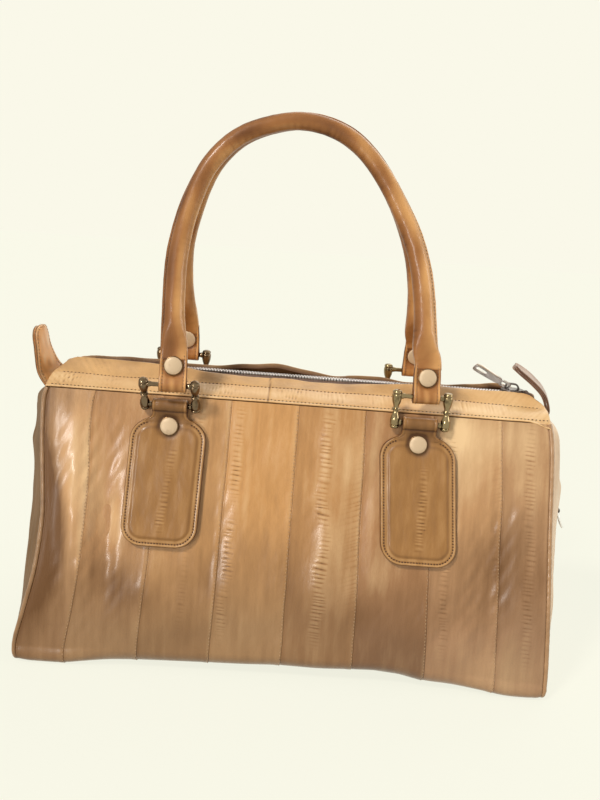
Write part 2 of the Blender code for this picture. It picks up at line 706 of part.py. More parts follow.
def make_side_zip(gusset):
    slot = box_cutter("side_slot", [((GUSSET_HALF_LENGTH - OVERREACH, -SIDE_SLOT_HALF_WIDTH, SIDE_ZIP_LOW),
                                     (GUSSET_HALF_LENGTH + OVERREACH, SIDE_SLOT_HALF_WIDTH, SIDE_ZIP_HIGH))])
    boolean(gusset, "DIFFERENCE", slot)
    inner = SIDE_CHAIN_HALF_GAP + SIDE_CHAIN_WIDTH
    back = SIDE_TAPE_FRONT - TAPE
    low, high = SIDE_ZIP_LOW - SIDE_TAPE_MARGIN, SIDE_ZIP_HIGH + SIDE_TAPE_MARGIN
    tape = boxes("side_zip_tape",
                 [((back, -POCKET_HALF_WIDTH, low), (SIDE_TAPE_FRONT, POCKET_HALF_WIDTH, high))], ZIP_CLOTH)
    opening = box_cutter("side_tape_opening", [((back - OVERREACH, -inner - GAP, SIDE_ZIP_LOW),
                                                (SIDE_TAPE_FRONT + OVERREACH, inner + GAP, SIDE_ZIP_HIGH))])
    boolean(tape, "DIFFERENCE", opening)
    front = SIDE_CHAIN_MIDDLE + SIDE_CHAIN_HEIGHT / 2
    rear = SIDE_CHAIN_MIDDLE - SIDE_CHAIN_HEIGHT / 2
    teeth = boxes("side_zip_teeth",
                  [((rear, -inner, SIDE_ZIP_LOW + GAP), (front, inner, SIDE_ZIP_HIGH - GAP))], ZIP_METAL)
    parting = box_cutter("side_chain_parting",
                         [((rear - OVERREACH, -SIDE_CHAIN_HALF_GAP, SIDE_ZIP_LOW + SIDE_STOP),
                           (front + OVERREACH, SIDE_CHAIN_HALF_GAP, SIDE_ZIP_HIGH - SIDE_STOP))])
    boolean(teeth, "DIFFERENCE", parting)
    pouch = boxes("side_pocket",
                  [((POCKET_BACK, -POCKET_HALF_WIDTH, low), (POCKET_FRONT, POCKET_HALF_WIDTH, high))],
                  LINING_CLOTH)
    inside = POCKET_HALF_WIDTH - LINING
    hollow = box_cutter("side_pocket_hollow", [((POCKET_BACK + LINING, -inside, low + LINING),
                                                (POCKET_FRONT + OVERREACH, inside, high - LINING))])
    boolean(pouch, "DIFFERENCE", hollow)
    frame = Matrix((Vector((0, 0, -1)), Vector((0, 1, 0)), Vector((1, 0, 0)))).transposed().to_4x4()
    frame.translation = Vector((SIDE_CHAIN_MIDDLE, 0, SIDE_SLIDER_PLACE))
    pivot = make_slider("side_slider", frame, SIDE_SLIDER_LENGTH, SIDE_SLIDER_HALF_WIDTH, inner,
                        SIDE_CHAIN_HEIGHT, 2 * (SIDE_CHAIN_HALF_GAP - SIDE_WEB_PLAY), ZIP_METAL)
    make_pull("side_pull", pivot, Vector((0, 0, -1)), Vector((0, 1, 0)), SIDE_PULL_LENGTH, SIDE_PULL_WIDTH,
              ZIP_METAL)
    return pivot


# Links, patches and rivets

def link_axis(side):
    return Vector((0, side * (slope_half_depth(LINK_AXIS_HEIGHT) + LINK_STANDOFF), LINK_AXIS_HEIGHT))


def link_frame(side, x, tilt):
    """The link's own frame at its lower bar, tilted outwards."""
    centre = link_axis(side)
    centre.x = x
    return Matrix.Translation(centre) @ Matrix.Rotation(-side * tilt, 4, "X")


def make_link(label, frame):
    middle = BAR_SPACING / 2
    half = POST_HALF_LENGTH
    upper = [(0, half)] + [(POST_RADIUS * share, half - drop) for share, drop in POST_BALL]
    upper += [(POST_RADIUS, middle), (POST_RADIUS * 0.8, middle - POST_NECK), (POST_WAIST, POST_NECK),
              (POST_WAIST, POST_COLLAR), (POST_WAIST * 1.45, POST_MIDDLE_RING)]
    profile = [(radius, height + middle) for radius, height in upper]
    profile += [(radius, middle - height) for radius, height in reversed(upper)]
    reach = POST_SPACING / 2
    made = turned(f"{label}_link", profile, AGED_METAL, frame @ Matrix.Translation((-reach, 0, 0)))
    post = hide(turned(f"{label}_right_post", profile, None, frame @ Matrix.Translation((reach, 0, 0)),
                       collection=cutters))
    bars = [rod_cutter(f"{label}_bar_{level}", [((-reach, 0, height), (reach, 0, height))], BAR_RADIUS,
                       frame, 12)
            for level, height in (("lower", 0), ("upper", BAR_SPACING))]
    boolean(made, "UNION", *bars, post)


def patch_outline(lean):
    """Round-cornered tongue that hangs from a neck, leaned by shifting its lower points across."""
    half, corner = PATCH_HALF_WIDTH, PATCH_CORNER
    bottom, top = -PATCH_LENGTH, -PATCH_SHOULDER
    right = arc((half - corner, bottom + corner), corner, -90, 0, 5)
    right += arc((half - corner, top - corner), corner, 0, 72, 4)
    right += [(NECK_HALF_WIDTH + NECK_FILLET, top + NECK_FILLET),
              (NECK_HALF_WIDTH, top + NECK_FILLET_RISE), (NECK_HALF_WIDTH, 0)]
    left = [(-x, y) for x, y in reversed(right)]
    return [(x - math.tan(lean) * min(y + CAP_DROP, 0), y) for x, y in right + left]


def cap_profile(head, inner):
    """Radius and height of a domed cap, its shank and its inner head, from the crown down."""
    top = head + CAP_THICKNESS
    inner_radius = CAP_RADIUS * 0.8
    inner_end = inner - CAP_THICKNESS * 0.7
    return [(0, top + CAP_CROWN), (CAP_RADIUS * 0.5, top + CAP_CROWN * 0.75),
            (CAP_RADIUS * 0.85, top + CAP_CROWN * 0.2), (CAP_RADIUS, top - CAP_THICKNESS * 0.4),
            (CAP_RADIUS, head), (RIVET_RADIUS, head), (RIVET_RADIUS, inner), (inner_radius, inner),
            (inner_radius, inner_end), (0, inner_end)]


def make_patch(side, label, x, lean, strips, shares, lining):
    frame = wall_frame(side, x)
    base = Matrix.Translation((0, 0, GAP + PATCH_THICKNESS / 2))
    made = plate(f"{label}_patch", [patch_outline(lean)], PATCH_THICKNESS, frame @ base, TRIM_LEATHER)
    bore = BAR_RADIUS + BORE_PLAY
    centre = link_axis(side)
    ends = [((x - NECK_HALF_WIDTH, centre.y, centre.z), (x + NECK_HALF_WIDTH, centre.y, centre.z))]
    reach = NECK_HALF_WIDTH + OVERREACH
    longer = [((x - reach, centre.y, centre.z), (x + reach, centre.y, centre.z))]
    boolean(made, "UNION", rod_cutter(f"{label}_loop", ends, bore + LOOP_WALL))
    boolean(made, "DIFFERENCE", rod_cutter(f"{label}_bore", longer, bore))
    hole = rod_cutter(f"{label}_rivet_hole", [((0, -CAP_DROP, -OVERREACH), (0, -CAP_DROP, OVERREACH))],
                      RIVET_RADIUS + GAP, frame, 12)
    boolean(made, "DIFFERENCE", hole)
    boolean(lining, "DIFFERENCE", hole)
    width = half_width(LINK_AXIS_HEIGHT - CAP_DROP * math.cos(WALL_LEAN))
    margin = RIVET_RADIUS + 2 * GAP
    for strip, low, high in zip(strips, shares, shares[1:]):
        if low * width - margin < x < high * width + margin:
            boolean(strip, "DIFFERENCE", hole)
    inner_head = -(LEATHER + GAP + LINING + GAP)
    turned(f"{label}_patch_rivet", cap_profile(GAP + PATCH_THICKNESS + GAP, inner_head), CAP_METAL,
           frame @ Matrix.Translation((0, -CAP_DROP, 0)))


# Handles

def handle_frame(side, left, right):
    """X along the two upper bars, Z up the handle's own leaning plane and Y across it."""
    middle = (left + right) / 2
    along = (right - left).normalized()
    apex = Vector((middle.x, side * (HANDLE_RADIUS + GAP), HANDLE_TOP_HEIGHT))
    upward = apex - middle
    upward = (upward - along * upward.dot(along)).normalized()
    across = upward.cross(along)
    frame = Matrix((along, across, upward)).transposed().to_4x4()
    frame.translation = middle
    return frame


def handle_route(span):
    """Points of the handle's middle line in its own plane, from the left loop to the right one."""
    ends = [(-1.0, 0.0), (-1.0, STRAP_LENGTH / HANDLE_RISE)]
    shares = ends + list(HANDLE_LINE) + [(-x, rise) for x, rise in reversed(ends)]
    return [Vector((x * span, 0, rise * HANDLE_RISE)) for x, rise in shares]


def smooth_route(points, steps):
    """A curve through the points whose direction follows each point's neighbours."""
    route = []
    for index in range(len(points) - 1):
        a, b = points[index], points[index + 1]
        before = points[max(index - 1, 0)]
        after = points[min(index + 2, len(points) - 1)]
        for step in range(steps):
            t = step / steps
            leave, arrive = (b - before) / 2, (after - a) / 2
            route.append(a * (2 * t ** 3 - 3 * t ** 2 + 1) + leave * (t ** 3 - 2 * t ** 2 + t)
                         + b * (3 * t ** 2 - 2 * t ** 3) + arrive * (t ** 3 - t ** 2))
    return route + [points[-1]]


def cross_section(centre, outward, across, half_out, half_across, squareness, fin, sides=16):
    """A rounded box or round section, with a fin on its outer side."""
    ring = []
    for index in range(sides):
        angle = math.tau * index / sides
        cosine, sine = math.cos(angle), math.sin(angle)
        scale = (abs(cosine) ** squareness + abs(sine) ** squareness) ** (-1 / squareness)
        reach = half_out * cosine * scale + (fin if index == 0 else 0.0)
        ring.append(centre + outward * reach + across * half_across * sine * scale)
    return ring


def strap_rings(x, across):
    """Sections of the folded strap, from the bottom of its loop to the start of the rolled part."""
    loop = BAR_RADIUS + BORE_PLAY + LOOP_WALL
    flat = STRAP_THICKNESS / 2
    stations = [(-loop, loop * 0.25), (-loop * 0.86, loop * 0.55), (-loop * 0.5, loop * 0.87), (0, loop),
                (loop * 0.6, loop * 0.84), (loop * 1.05, mix(flat, loop, 0.3)),
                (STRAP_RIVET_RISE - CAP_RADIUS - GAP, flat)]
    return [(Vector((x, 0, height)), Vector((across, 0, 0)), STRAP_WIDTH / 2, thick, 8.0, 0.0)
            for height, thick in stations]


def make_handle(side, label, left, right):
    frame = handle_frame(side, left, right)
    span = (right - left).length / 2
    route = smooth_route(handle_route(span), 2)
    across = Vector((0, 1, 0))
    stations = strap_rings(-span, -1)
    rolled = route[2:-2]
    for index in range(len(rolled)):
        before, after = rolled[max(index - 1, 0)], rolled[min(index + 1, len(rolled) - 1)]
        along = (after - before).normalized()
        if index in (0, len(rolled) - 1):
            along = Vector((0, 0, 1 if index == 0 else -1))
        outward = along.cross(across)
        flatness = max(0.0, 1 - max(0.0, rolled[index].z - STRAP_LENGTH) / STRAP_LENGTH)
        radius = mix(HANDLE_RADIUS, HANDLE_LEG_RADIUS, 1 - rolled[index].z / HANDLE_RISE)
        stations.append((rolled[index], outward, mix(radius, STRAP_WIDTH / 2, flatness),
                         mix(radius, STRAP_THICKNESS / 2, flatness), mix(2.0, 8.0, flatness),
                         HANDLE_FIN * (1 - flatness)))
    stations += list(reversed(strap_rings(span, 1)))

    def build(work):
        rings = [[work.verts.new(corner) for corner in
                  cross_section(centre, outward, across, out, thick, square, fin)]
                 for centre, outward, out, thick, square, fin in stations]
        bridge_rings(work, rings)
    cover = place(f"{label}_handle_cover", closed_mesh(f"{label}_handle_cover", build), HANDLE_LEATHER, frame)
    core_points = [point for point in route if point.z > STRAP_LENGTH * 2]
    core = tube(f"{label}_handle_core", core_points, CORE_RADIUS, CORD_CORE)
    core.matrix_world = frame
    first, last = core_points[0].copy(), core_points[-1].copy()
    first.z -= CORE_PLAY
    last.z -= CORE_PLAY
    cavity = tube(f"{label}_cavity", [first] + core_points[1:-1] + [last], CORE_RADIUS + GAP, None)
    cavity.matrix_world = frame
    parts.objects.unlink(cavity)
    cutters.objects.link(cavity)
    hide(cavity)
    boolean(cover, "DIFFERENCE", cavity)
    for x, name, end in ((-span, "left", first), (span, "right", last)):
        bore = rod_cutter(f"{label}_{name}_bore", [((x - STRAP_WIDTH, 0, 0), (x + STRAP_WIDTH, 0, 0))],
                          BAR_RADIUS + BORE_PLAY, frame)
        slit_top = end.z + 2 * CORE_PLAY
        slit = box_cutter(f"{label}_{name}_slit",
                          [((x - CORE_RADIUS, -SLIT / 2, 0), (x + CORE_RADIUS, SLIT / 2, slit_top))], frame)
        near, far = (x, -OVERREACH, STRAP_RIVET_RISE), (x, OVERREACH, STRAP_RIVET_RISE)
        hole = rod_cutter(f"{label}_{name}_hole", [(near, far)], RIVET_RADIUS + GAP, frame, 12)
        boolean(cover, "DIFFERENCE", slit, bore, hole)
    head = STRAP_THICKNESS / 2 + GAP
    outward = Matrix.Rotation(-side * math.pi / 2, 4, "X")
    seats = [frame @ Matrix.Translation((x, 0, STRAP_RIVET_RISE)) @ outward for x in (-span, span)]
    top = head + CAP_THICKNESS
    half = [(0, top + CAP_CROWN), (CAP_RADIUS * 0.6, top + CAP_CROWN * 0.6),
            (CAP_RADIUS, head + CAP_THICKNESS * 0.5), (CAP_RADIUS, head), (RIVET_RADIUS, head)]
    profile = half + [(radius, -height) for radius, height in reversed(half)]
    for seat, name in zip(seats, ("left", "right")):
        turned(f"{label}_{name}_handle_rivet", profile, CAP_METAL, seat)
    return frame


# Assembly

lining = make_lining()
for side, label in ((-1, "front"), (1, "back")):
    strips, shares = make_strips(side, label)
    make_mouth(side, label)
    loops = []
    for name, x, lean in (("left", LINK_LEFT, PATCH_LEAN_LEFT), ("right", LINK_RIGHT, PATCH_LEAN_RIGHT)):
        tilt = TILTED_LINK if (label, name) == ("front", "left") else 0.0
        frame = link_frame(side, x, tilt)
        make_link(f"{label}_{name}", frame)
        sign = 1 if name == "left" else -1
        make_patch(side, f"{label}_{name}", x, side * sign * lean, strips, shares, lining)
        loops.append(frame @ Vector((STRAP_SHIFT, 0, BAR_SPACING)))
    frame = make_handle(side, label, *loops)
    print(label, "handle turns about", [round(value, 6) for value in frame.translation],
          [round(value, 6) for value in frame.col[0].to_3d()])

make_base()
make_piping(-1, "left_piping")
make_piping(1, "right_piping")
make_gusset(-1, "left_gusset")
right_gusset = make_gusset(1, "right_gusset")
make_zip_end(-1, "left_zip_end", -(SLIDER_PLACE - SLIDER_TRAVEL) - SLIDER_LENGTH / 2)
make_zip_end(1, "right_zip_end", SLIDER_PLACE - SLIDER_LENGTH / 2)
make_tabs()
main_pivot = make_main_slider()
side_pivot = make_side_zip(right_gusset)
print("main pull turns at", [round(value, 6) for value in main_pivot])
print("side pull turns at", [round(value, 6) for value in side_pivot])
print("front links turn at", [round(value, 6) for value in link_axis(-1)], "zip height", round(ZIP_HEIGHT, 6))
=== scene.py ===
"""Looks for a satchel pieced from strips of glossy leather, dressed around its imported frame.

Metres, +X to the right of someone who faces the front, +Y to the back, +Z up.
"""
import math

import bpy
import numpy as np
from mathutils import Euler, Matrix, Vector


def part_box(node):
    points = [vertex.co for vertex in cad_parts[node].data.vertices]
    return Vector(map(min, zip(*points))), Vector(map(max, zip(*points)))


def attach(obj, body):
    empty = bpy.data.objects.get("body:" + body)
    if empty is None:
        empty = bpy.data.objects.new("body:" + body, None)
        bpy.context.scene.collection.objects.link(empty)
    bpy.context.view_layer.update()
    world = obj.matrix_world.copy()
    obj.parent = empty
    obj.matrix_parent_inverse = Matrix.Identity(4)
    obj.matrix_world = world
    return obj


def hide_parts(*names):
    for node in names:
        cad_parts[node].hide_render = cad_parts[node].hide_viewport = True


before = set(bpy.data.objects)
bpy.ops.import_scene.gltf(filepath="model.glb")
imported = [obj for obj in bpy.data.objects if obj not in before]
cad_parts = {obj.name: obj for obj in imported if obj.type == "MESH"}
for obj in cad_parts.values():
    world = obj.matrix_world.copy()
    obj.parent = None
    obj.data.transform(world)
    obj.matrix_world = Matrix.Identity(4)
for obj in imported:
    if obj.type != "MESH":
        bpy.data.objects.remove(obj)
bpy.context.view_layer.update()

# Sizes that the frame has too
GAP = 0.0003
LEATHER = 0.0016
TAPE = 0.0008
BASE_HALF_WIDTH = 0.178
TOP_HALF_WIDTH = 0.163
BASE_HALF_DEPTH = 0.066
TOP_HALF_DEPTH = 0.034
SEAM_HEIGHT = 0.1845
BASE_RADIUS = 0.012
TURN_UNDER = 0.010
WALL_LEAN = math.radians(14)
SLOPE_START = 0.072
WALL_TOP = SEAM_HEIGHT - 0.0005
SEAM_SHARES = (-1.0, -0.805, -0.54, -0.27, 0.0, 0.27, 0.54, 0.805, 1.0)
PIPING_RADIUS = 0.00175
EDGE_INSET = 2 * PIPING_RADIUS + GAP
GUSSET_HALF_LENGTH = 0.186
GUSSET_FLAT = (0.035, 0.134)
GUSSET_TOP_BULGE = 0.0012
END_ROUND = 0.024
END_COVER = 0.74
BAND_SLOPE = math.radians(23.6)
MOUTH_HALF_GAP = 0.008
BAND_WIDTH = (TOP_HALF_DEPTH - MOUTH_HALF_GAP) / math.cos(BAND_SLOPE)
ZIP_HEIGHT = 0.195514
CHAIN_ENDS = (-0.1297, 0.1367)
SLIDER_PLACE = 0.145
LINK_AXIS_HEIGHT = SEAM_HEIGHT - 0.005
LINK_STANDOFF = 0.0053
LINK_PLACES = {"left": -0.084, "right": 0.079}
BAR_SPACING = 0.018
POST_SPACING = 0.033
TILTED_LINK = math.radians(30)
STRAP_SHIFT = 0.0022
PATCH_LEANS = {"left": math.radians(1.6), "right": math.radians(4.5)}
CAP_DROP = 0.0150
HANDLE_RISE = 0.1725
HANDLE_TOP_HEIGHT = SEAM_HEIGHT + 0.180
STRAP_LENGTH = 0.022
BACK_LEFT_SHIFT = 0.0028
STRAP_RIVET_RISE = 0.0125
SIDES = {"front": -1, "back": 1}
# Pitch, length and radius of the stitches
STITCHES = {"seam": (0.0024, 0.0013, 0.00032), "band": (0.0025, 0.0013, 0.00034),
            "tab": (0.0024, 0.0016, 0.0003), "patch": (0.0019, 0.0012, 0.00050),
            "strap": (0.0022, 0.0014, 0.00026), "roll": (0.0023, 0.0014, 0.00022)}
# Width, pitch and height of a zip's teeth, and their distance from the chain's middle
MAIN_TEETH = (0.0033, 0.0020, 0.0028, 0.00015)
SIDE_TEETH = (0.0024, 0.0016, 0.0021, 0.00012)


# Arithmetic on arrays

def stack(*parts):
    """Numbers and arrays, spread to one shape, along a new last axis."""
    return np.stack(np.broadcast_arrays(*parts), -1)


def turns(count):
    """Even angles round a whole turn."""
    return math.tau * np.arange(count) / count


def unit(vectors):
    return vectors / np.maximum(np.linalg.norm(vectors, axis=-1, keepdims=True), 1e-12)


def ease(low, high, value):
    """0 below low, 1 above high, and a smooth step between."""
    share = np.clip((value - low) / (high - low), 0, 1)
    return share * share * (3 - 2 * share)


def hump(value, middle, width):
    return np.exp(-((value - middle) / width) ** 2)


def rolled(room, radius):
    """How far a round edge falls, from 0 to 1, at a distance in from it."""
    return 1 - np.sqrt(1 - np.clip(1 - room / radius, 0, 1) ** 2)


def ripple(x, y, length_x, length_y, seed):
    """A sum of nine sine waves of mixed directions, with wavelengths near the two lengths, about -1 to 1."""
    draw = np.random.default_rng(seed)
    total = 0
    for wave in range(9):
        turn = math.tau * (wave + draw.uniform()) / 9
        stretch = draw.uniform(0.6, 1.5)
        phase = x * math.cos(turn) / length_x + y * math.sin(turn) / length_y
        total = total + np.sin(math.tau * stretch * phase + draw.uniform(0, math.tau))
    return total / math.sqrt(9 * 1.6)


def chance(number, factor, spread):
    """The fraction of a large sine: a value from 0 to 1 for each number, with no pattern to the eye."""
    value = np.sin(number * factor[0] + factor[1]) * spread
    return value - np.floor(value)


def ticks(across, along, half_width, pitch, seed, slant=0.0):
    """A band of short creases: narrow valleys between round ridges, of uneven spacing, length and depth."""
    drift = ripple(along, 0, 0.024, 1.0, seed) + 0.5 * ripple(along, 0, 0.009, 1.0, seed + 1)
    phase = (along + slant * across) / pitch + 0.45 * drift
    ridge = 1.5 * np.abs(np.sin(math.pi * phase)) ** 0.45 - 1.15
    own = chance(np.floor(phase), (12.9898, seed), 43758.5453)
    other = chance(np.floor(phase), (78.233, seed), 12543.123)
    reach, offset = half_width * (0.70 + 0.50 * own), half_width * 0.5 * (other - 0.5)
    fade = np.exp(-np.abs((across - offset) / reach) ** 4)
    depth = np.clip(0.75 + 0.45 * ripple(along, 0, 0.030, 1.0, seed + 2), 0.15, 1.25) * (0.6 + 0.5 * other)
    return ridge * fade * depth


def spacing(length, near, step):
    """Places from 0 to length: the near distances in from both ends, and even steps between."""
    near = np.array(near)
    count = max(2, round((length - 2 * near[-1]) / step))
    middle = np.linspace(near[-1], length - near[-1], count + 1)[1:-1]
    return np.concatenate([near, middle, (length - near)[::-1]])


def path_length(path):
    """The length along a path at each of its points."""
    return np.concatenate([[0], np.cumsum(np.linalg.norm(np.diff(path, axis=0), axis=1))])


def at_length(places, length, path):
    return stack(*(np.interp(places, length, values) for values in path.T))


def resample(path, pitch):
    """Points and directions along a path, one for each pitch of its length, and their lengths along it."""
    length = path_length(path)
    count = max(2, int(length[-1] / pitch))
    places = (np.arange(count) + 0.5) * length[-1] / count
    ahead, behind = (at_length(places + step, length, path) for step in (pitch / 4, -pitch / 4))
    return at_length(places, length, path), unit(ahead - behind), places


def smooth_path(points, steps):
    """A curve through the points, whose direction at each follows its neighbours: cubic Hermite pieces."""
    points = np.array(points, float)
    before, after = np.vstack([points[:1], points[:-2]]), np.vstack([points[2:], points[-1:]])
    a, b = points[:-1, None], points[1:, None]
    leave, arrive = (b - before[:, None]) / 2, (after[:, None] - a) / 2
    t = (np.arange(steps) / steps)[None, :, None]
    curve = (a * (2 * t ** 3 - 3 * t ** 2 + 1) + leave * (t ** 3 - 2 * t ** 2 + t)
             + b * (3 * t ** 2 - 2 * t ** 3) + arrive * (t ** 3 - t ** 2))
    return np.vstack([curve.reshape(-1, points.shape[1]), points[-1:]])


def superellipse(angle, power):
    """A closed outline between an ellipse and a box: powers of cosine and sine that keep their signs."""
    outline = stack(np.cos(angle), np.sin(angle))
    return np.sign(outline) * np.abs(outline) ** power


# Meshes

class Shape:
    """Points, faces and point values of one piece, gathered from grids."""

    def __init__(self):
        self.points, self.faces, self.tones, self.edges, self.places = [], [], [], [], []
        self.count = 0

    def add(self, points, tone, edge, place):
        """Takes in a grid of points with their values, and gives their numbers."""
        rows, columns = points.shape[:2]
        self.points.append(points.reshape(-1, 3))
        self.tones.append(np.broadcast_to(tone, (rows, columns)).reshape(-1))
        self.edges.append(np.broadcast_to(edge, (rows, columns)).reshape(-1))
        self.places.append(np.broadcast_to(place, (rows, columns, 2)).reshape(-1, 2))
        self.count += rows * columns
        return np.arange(self.count - rows * columns, self.count).reshape(rows, columns)

    def grid(self, points, ring=False, caps=True, flip=False, tone=0.0, edge=0.0, place=None):
        """Quads over a grid of points whose columns go round. ring joins its last row to its first."""
        index = self.add(points, tone, edge, points[..., [0, 2]] if place is None else place)
        ends = [index[0].tolist()[::-1], index[-1].tolist()]
        index = np.hstack([index, index[:, :1]])
        if ring:
            index = np.vstack([index, index[:1]])
        corners = [index[:-1, :-1], index[:-1, 1:], index[1:, 1:], index[1:, :-1]]
        if flip:
            corners.reverse()
        self.faces += np.stack(corners, -1).reshape(-1, 4).tolist()
        if caps and not ring:
            self.faces += [end[::-1] for end in ends] if flip else ends
        return self

    def sheet(self, front, back, keep=None, tone=0.0, edge=0.0, place=None, back_tone=0.0, mirror=False):
        """A closed sheet between two grids: the kept cells of both, and a wall along every free edge."""
        rows, columns = front.shape[:2]
        keep = np.ones((rows - 1, columns - 1), bool) if keep is None else keep
        place = np.broadcast_to(front[..., [0, 2]] if place is None else place, (rows, columns, 2))
        tone, edge, back_tone = (np.broadcast_to(values, (rows, columns)) for values in (tone, edge, back_tone))
        if mirror:
            front, back, keep, tone, edge, place, back_tone = (
                values[:, ::-1] for values in (front, back, keep, tone, edge, place, back_tone))
        index = self.add(front, tone, edge, place)
        self.add(back, back_tone, edge, place)
        shift = rows * columns
        a, b, c, d = index[:-1, :-1], index[:-1, 1:], index[1:, 1:], index[1:, :-1]
        faces = [np.stack([a, b, c, d], -1)[keep], np.stack([d, c, b, a], -1)[keep] + shift]
        room = np.pad(keep, 1)
        for near, start, end in ((room[:-2, 1:-1], a, b), (room[1:-1, 2:], b, c), (room[2:, 1:-1], c, d),
                                 (room[1:-1, :-2], d, a)):
            free = keep & ~near
            faces.append(np.stack([end[free], start[free], start[free] + shift, end[free] + shift], -1))
        self.faces += np.concatenate(faces).tolist()
        return self

    def move(self, turn, centre):
        """Turns what has been gathered by three rows, and moves it."""
        self.points = [points @ turn + centre for points in self.points]
        return self

    def make(self, name, finish, body, slot, *replaced, sharp=40):
        """Puts the grids into one mesh, with its values and its own map, and drops the points of no face."""
        used = np.zeros(self.count, bool)
        for face in self.faces:
            used[face] = True
        number = np.cumsum(used) - 1
        faces = [number[face].tolist() for face in self.faces]
        points, places = np.concatenate(self.points)[used], np.concatenate(self.places)[used]
        mesh = bpy.data.meshes.new(name)
        mesh.from_pydata(points.tolist(), [], faces)
        for label, values in (("tone", self.tones), ("edge", self.edges)):
            layer = mesh.attributes.new(label, "FLOAT", "POINT")
            layer.data.foreach_set("value", np.concatenate(values)[used].astype(np.float32))
        corners = np.zeros(len(mesh.loops), np.int32)
        mesh.loops.foreach_get("vertex_index", corners)
        layer = mesh.uv_layers.new(name="surface")
        layer.data.foreach_set("uv", places[corners].astype(np.float32).reshape(-1))
        mesh.update()
        mesh.shade_smooth()
        mesh.set_sharp_from_angle(angle=math.radians(sharp))
        mesh.materials.append(finish)
        made = bpy.data.objects.new(name, mesh)
        bpy.context.scene.collection.objects.link(made)
        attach(made, body)
        if replaced:
            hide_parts(*replaced)


def turned_grid(profile, sides):
    """A profile of radius and height turned about Z: radius times cosine and sine, at even angles."""
    radius, height = np.array(profile, float).T[:, :, None]
    return stack(radius * np.cos(turns(sides)), radius * np.sin(turns(sides)), height)


def rounded_profile(points, steps=3):
    """A profile in millimetres, as metres, with its corners cut by arcs between its sides' middles."""
    points = np.array(points, float) * 0.001
    ends = (points[:-1] + points[1:]) / 2
    share = (np.arange(steps) + 0.5)[:, None] / steps
    curve = [start * (1 - share) ** 2 + corner * 2 * share * (1 - share) + end * share ** 2
             for start, corner, end in zip(ends, points[1:-1], ends[1:])]
    return np.vstack([points[:1], *curve, points[-1:]])


def stitches(shape, path, normals, kind):
    """Grains of thread along a path: stretched balls, half sunk, each turned a little off the row."""
    pitch, length, radius = STITCHES[kind]
    centres, along, places = resample(path, pitch)
    up = unit(at_length(places, path_length(path), normals))
    along = unit(along + 0.12 * unit(np.cross(up, along)))
    across = unit(np.cross(up, along))
    rise = np.linspace(-1, 1, 5)[:, None]
    girth = np.sqrt(np.maximum(1 - rise ** 2, 0.02)) * radius
    grain = stack(rise * length / 2, girth * np.cos(turns(6)), girth * np.sin(turns(6)))
    frames = np.stack([along, across, np.cross(along, across)], 1)
    for points in np.einsum("rck,nkj->nrcj", grain, frames) + centres[:, None, None, :]:
        shape.grid(points)


# Materials

def as_colour(red, green, blue):
    """Screen values of 0 to 255 as linear light."""
    screen = np.array([red, green, blue]) / 255
    return tuple(np.where(screen <= 0.04045, screen / 12.92, ((screen + 0.055) / 1.055) ** 2.4)) + (1.0,)


class Socket:
    """A number in a shader, which Python's operators turn into Math nodes."""

    def __init__(self, finish, output):
        self.finish, self.output = finish, output

    def __add__(self, other):
        return self.finish.maths("ADD", self, other)

    def __sub__(self, other):
        return self.finish.maths("SUBTRACT", self, other)

    def __rsub__(self, other):
        return self.finish.maths("SUBTRACT", other, self)

    def __mul__(self, other):
        return self.finish.maths("MULTIPLY", self, other)

    def __truediv__(self, other):
        return self.finish.maths("DIVIDE", self, other)

    __radd__ = __add__
    __rmul__ = __mul__

    def clamp(self):
        return self.finish.maths("MAXIMUM", self.finish.maths("MINIMUM", self, 1.0), 0.0)


class Nodes:
    """A node tree, with one method that makes any node."""

    def __init__(self, tree):
        self.tree = tree

    def node(self, kind, settings=None, **inputs):
        """Makes a node: its settings first, then values or links by socket name or number."""
        made = self.tree.nodes.new(kind)
        for key, value in (settings or {}).items():
            setattr(made, key, value)
        for key, value in inputs.items():
            socket = made.inputs[int(key[1:])] if key[1:].isdigit() else made.inputs[key.replace("_", " ")]
            self.feed(socket, value)
        return made

    def feed(self, socket, value):
        if isinstance(value, Socket):
            value = value.output
        if isinstance(value, bpy.types.NodeSocket):
            self.tree.links.new(value, socket)
        else:
            socket.default_value = value

    def maths(self, operation, a, b=0.0):
        return Socket(self, self.node("ShaderNodeMath", {"operation": operation}, _0=a, _1=b).outputs[0])

    def rays(self, *names):
        """1 for the named kinds of ray, and 0 for others."""
        path = self.node("ShaderNodeLightPath")
        return sum(Socket(self, path.outputs[name]) for name in names).clamp()


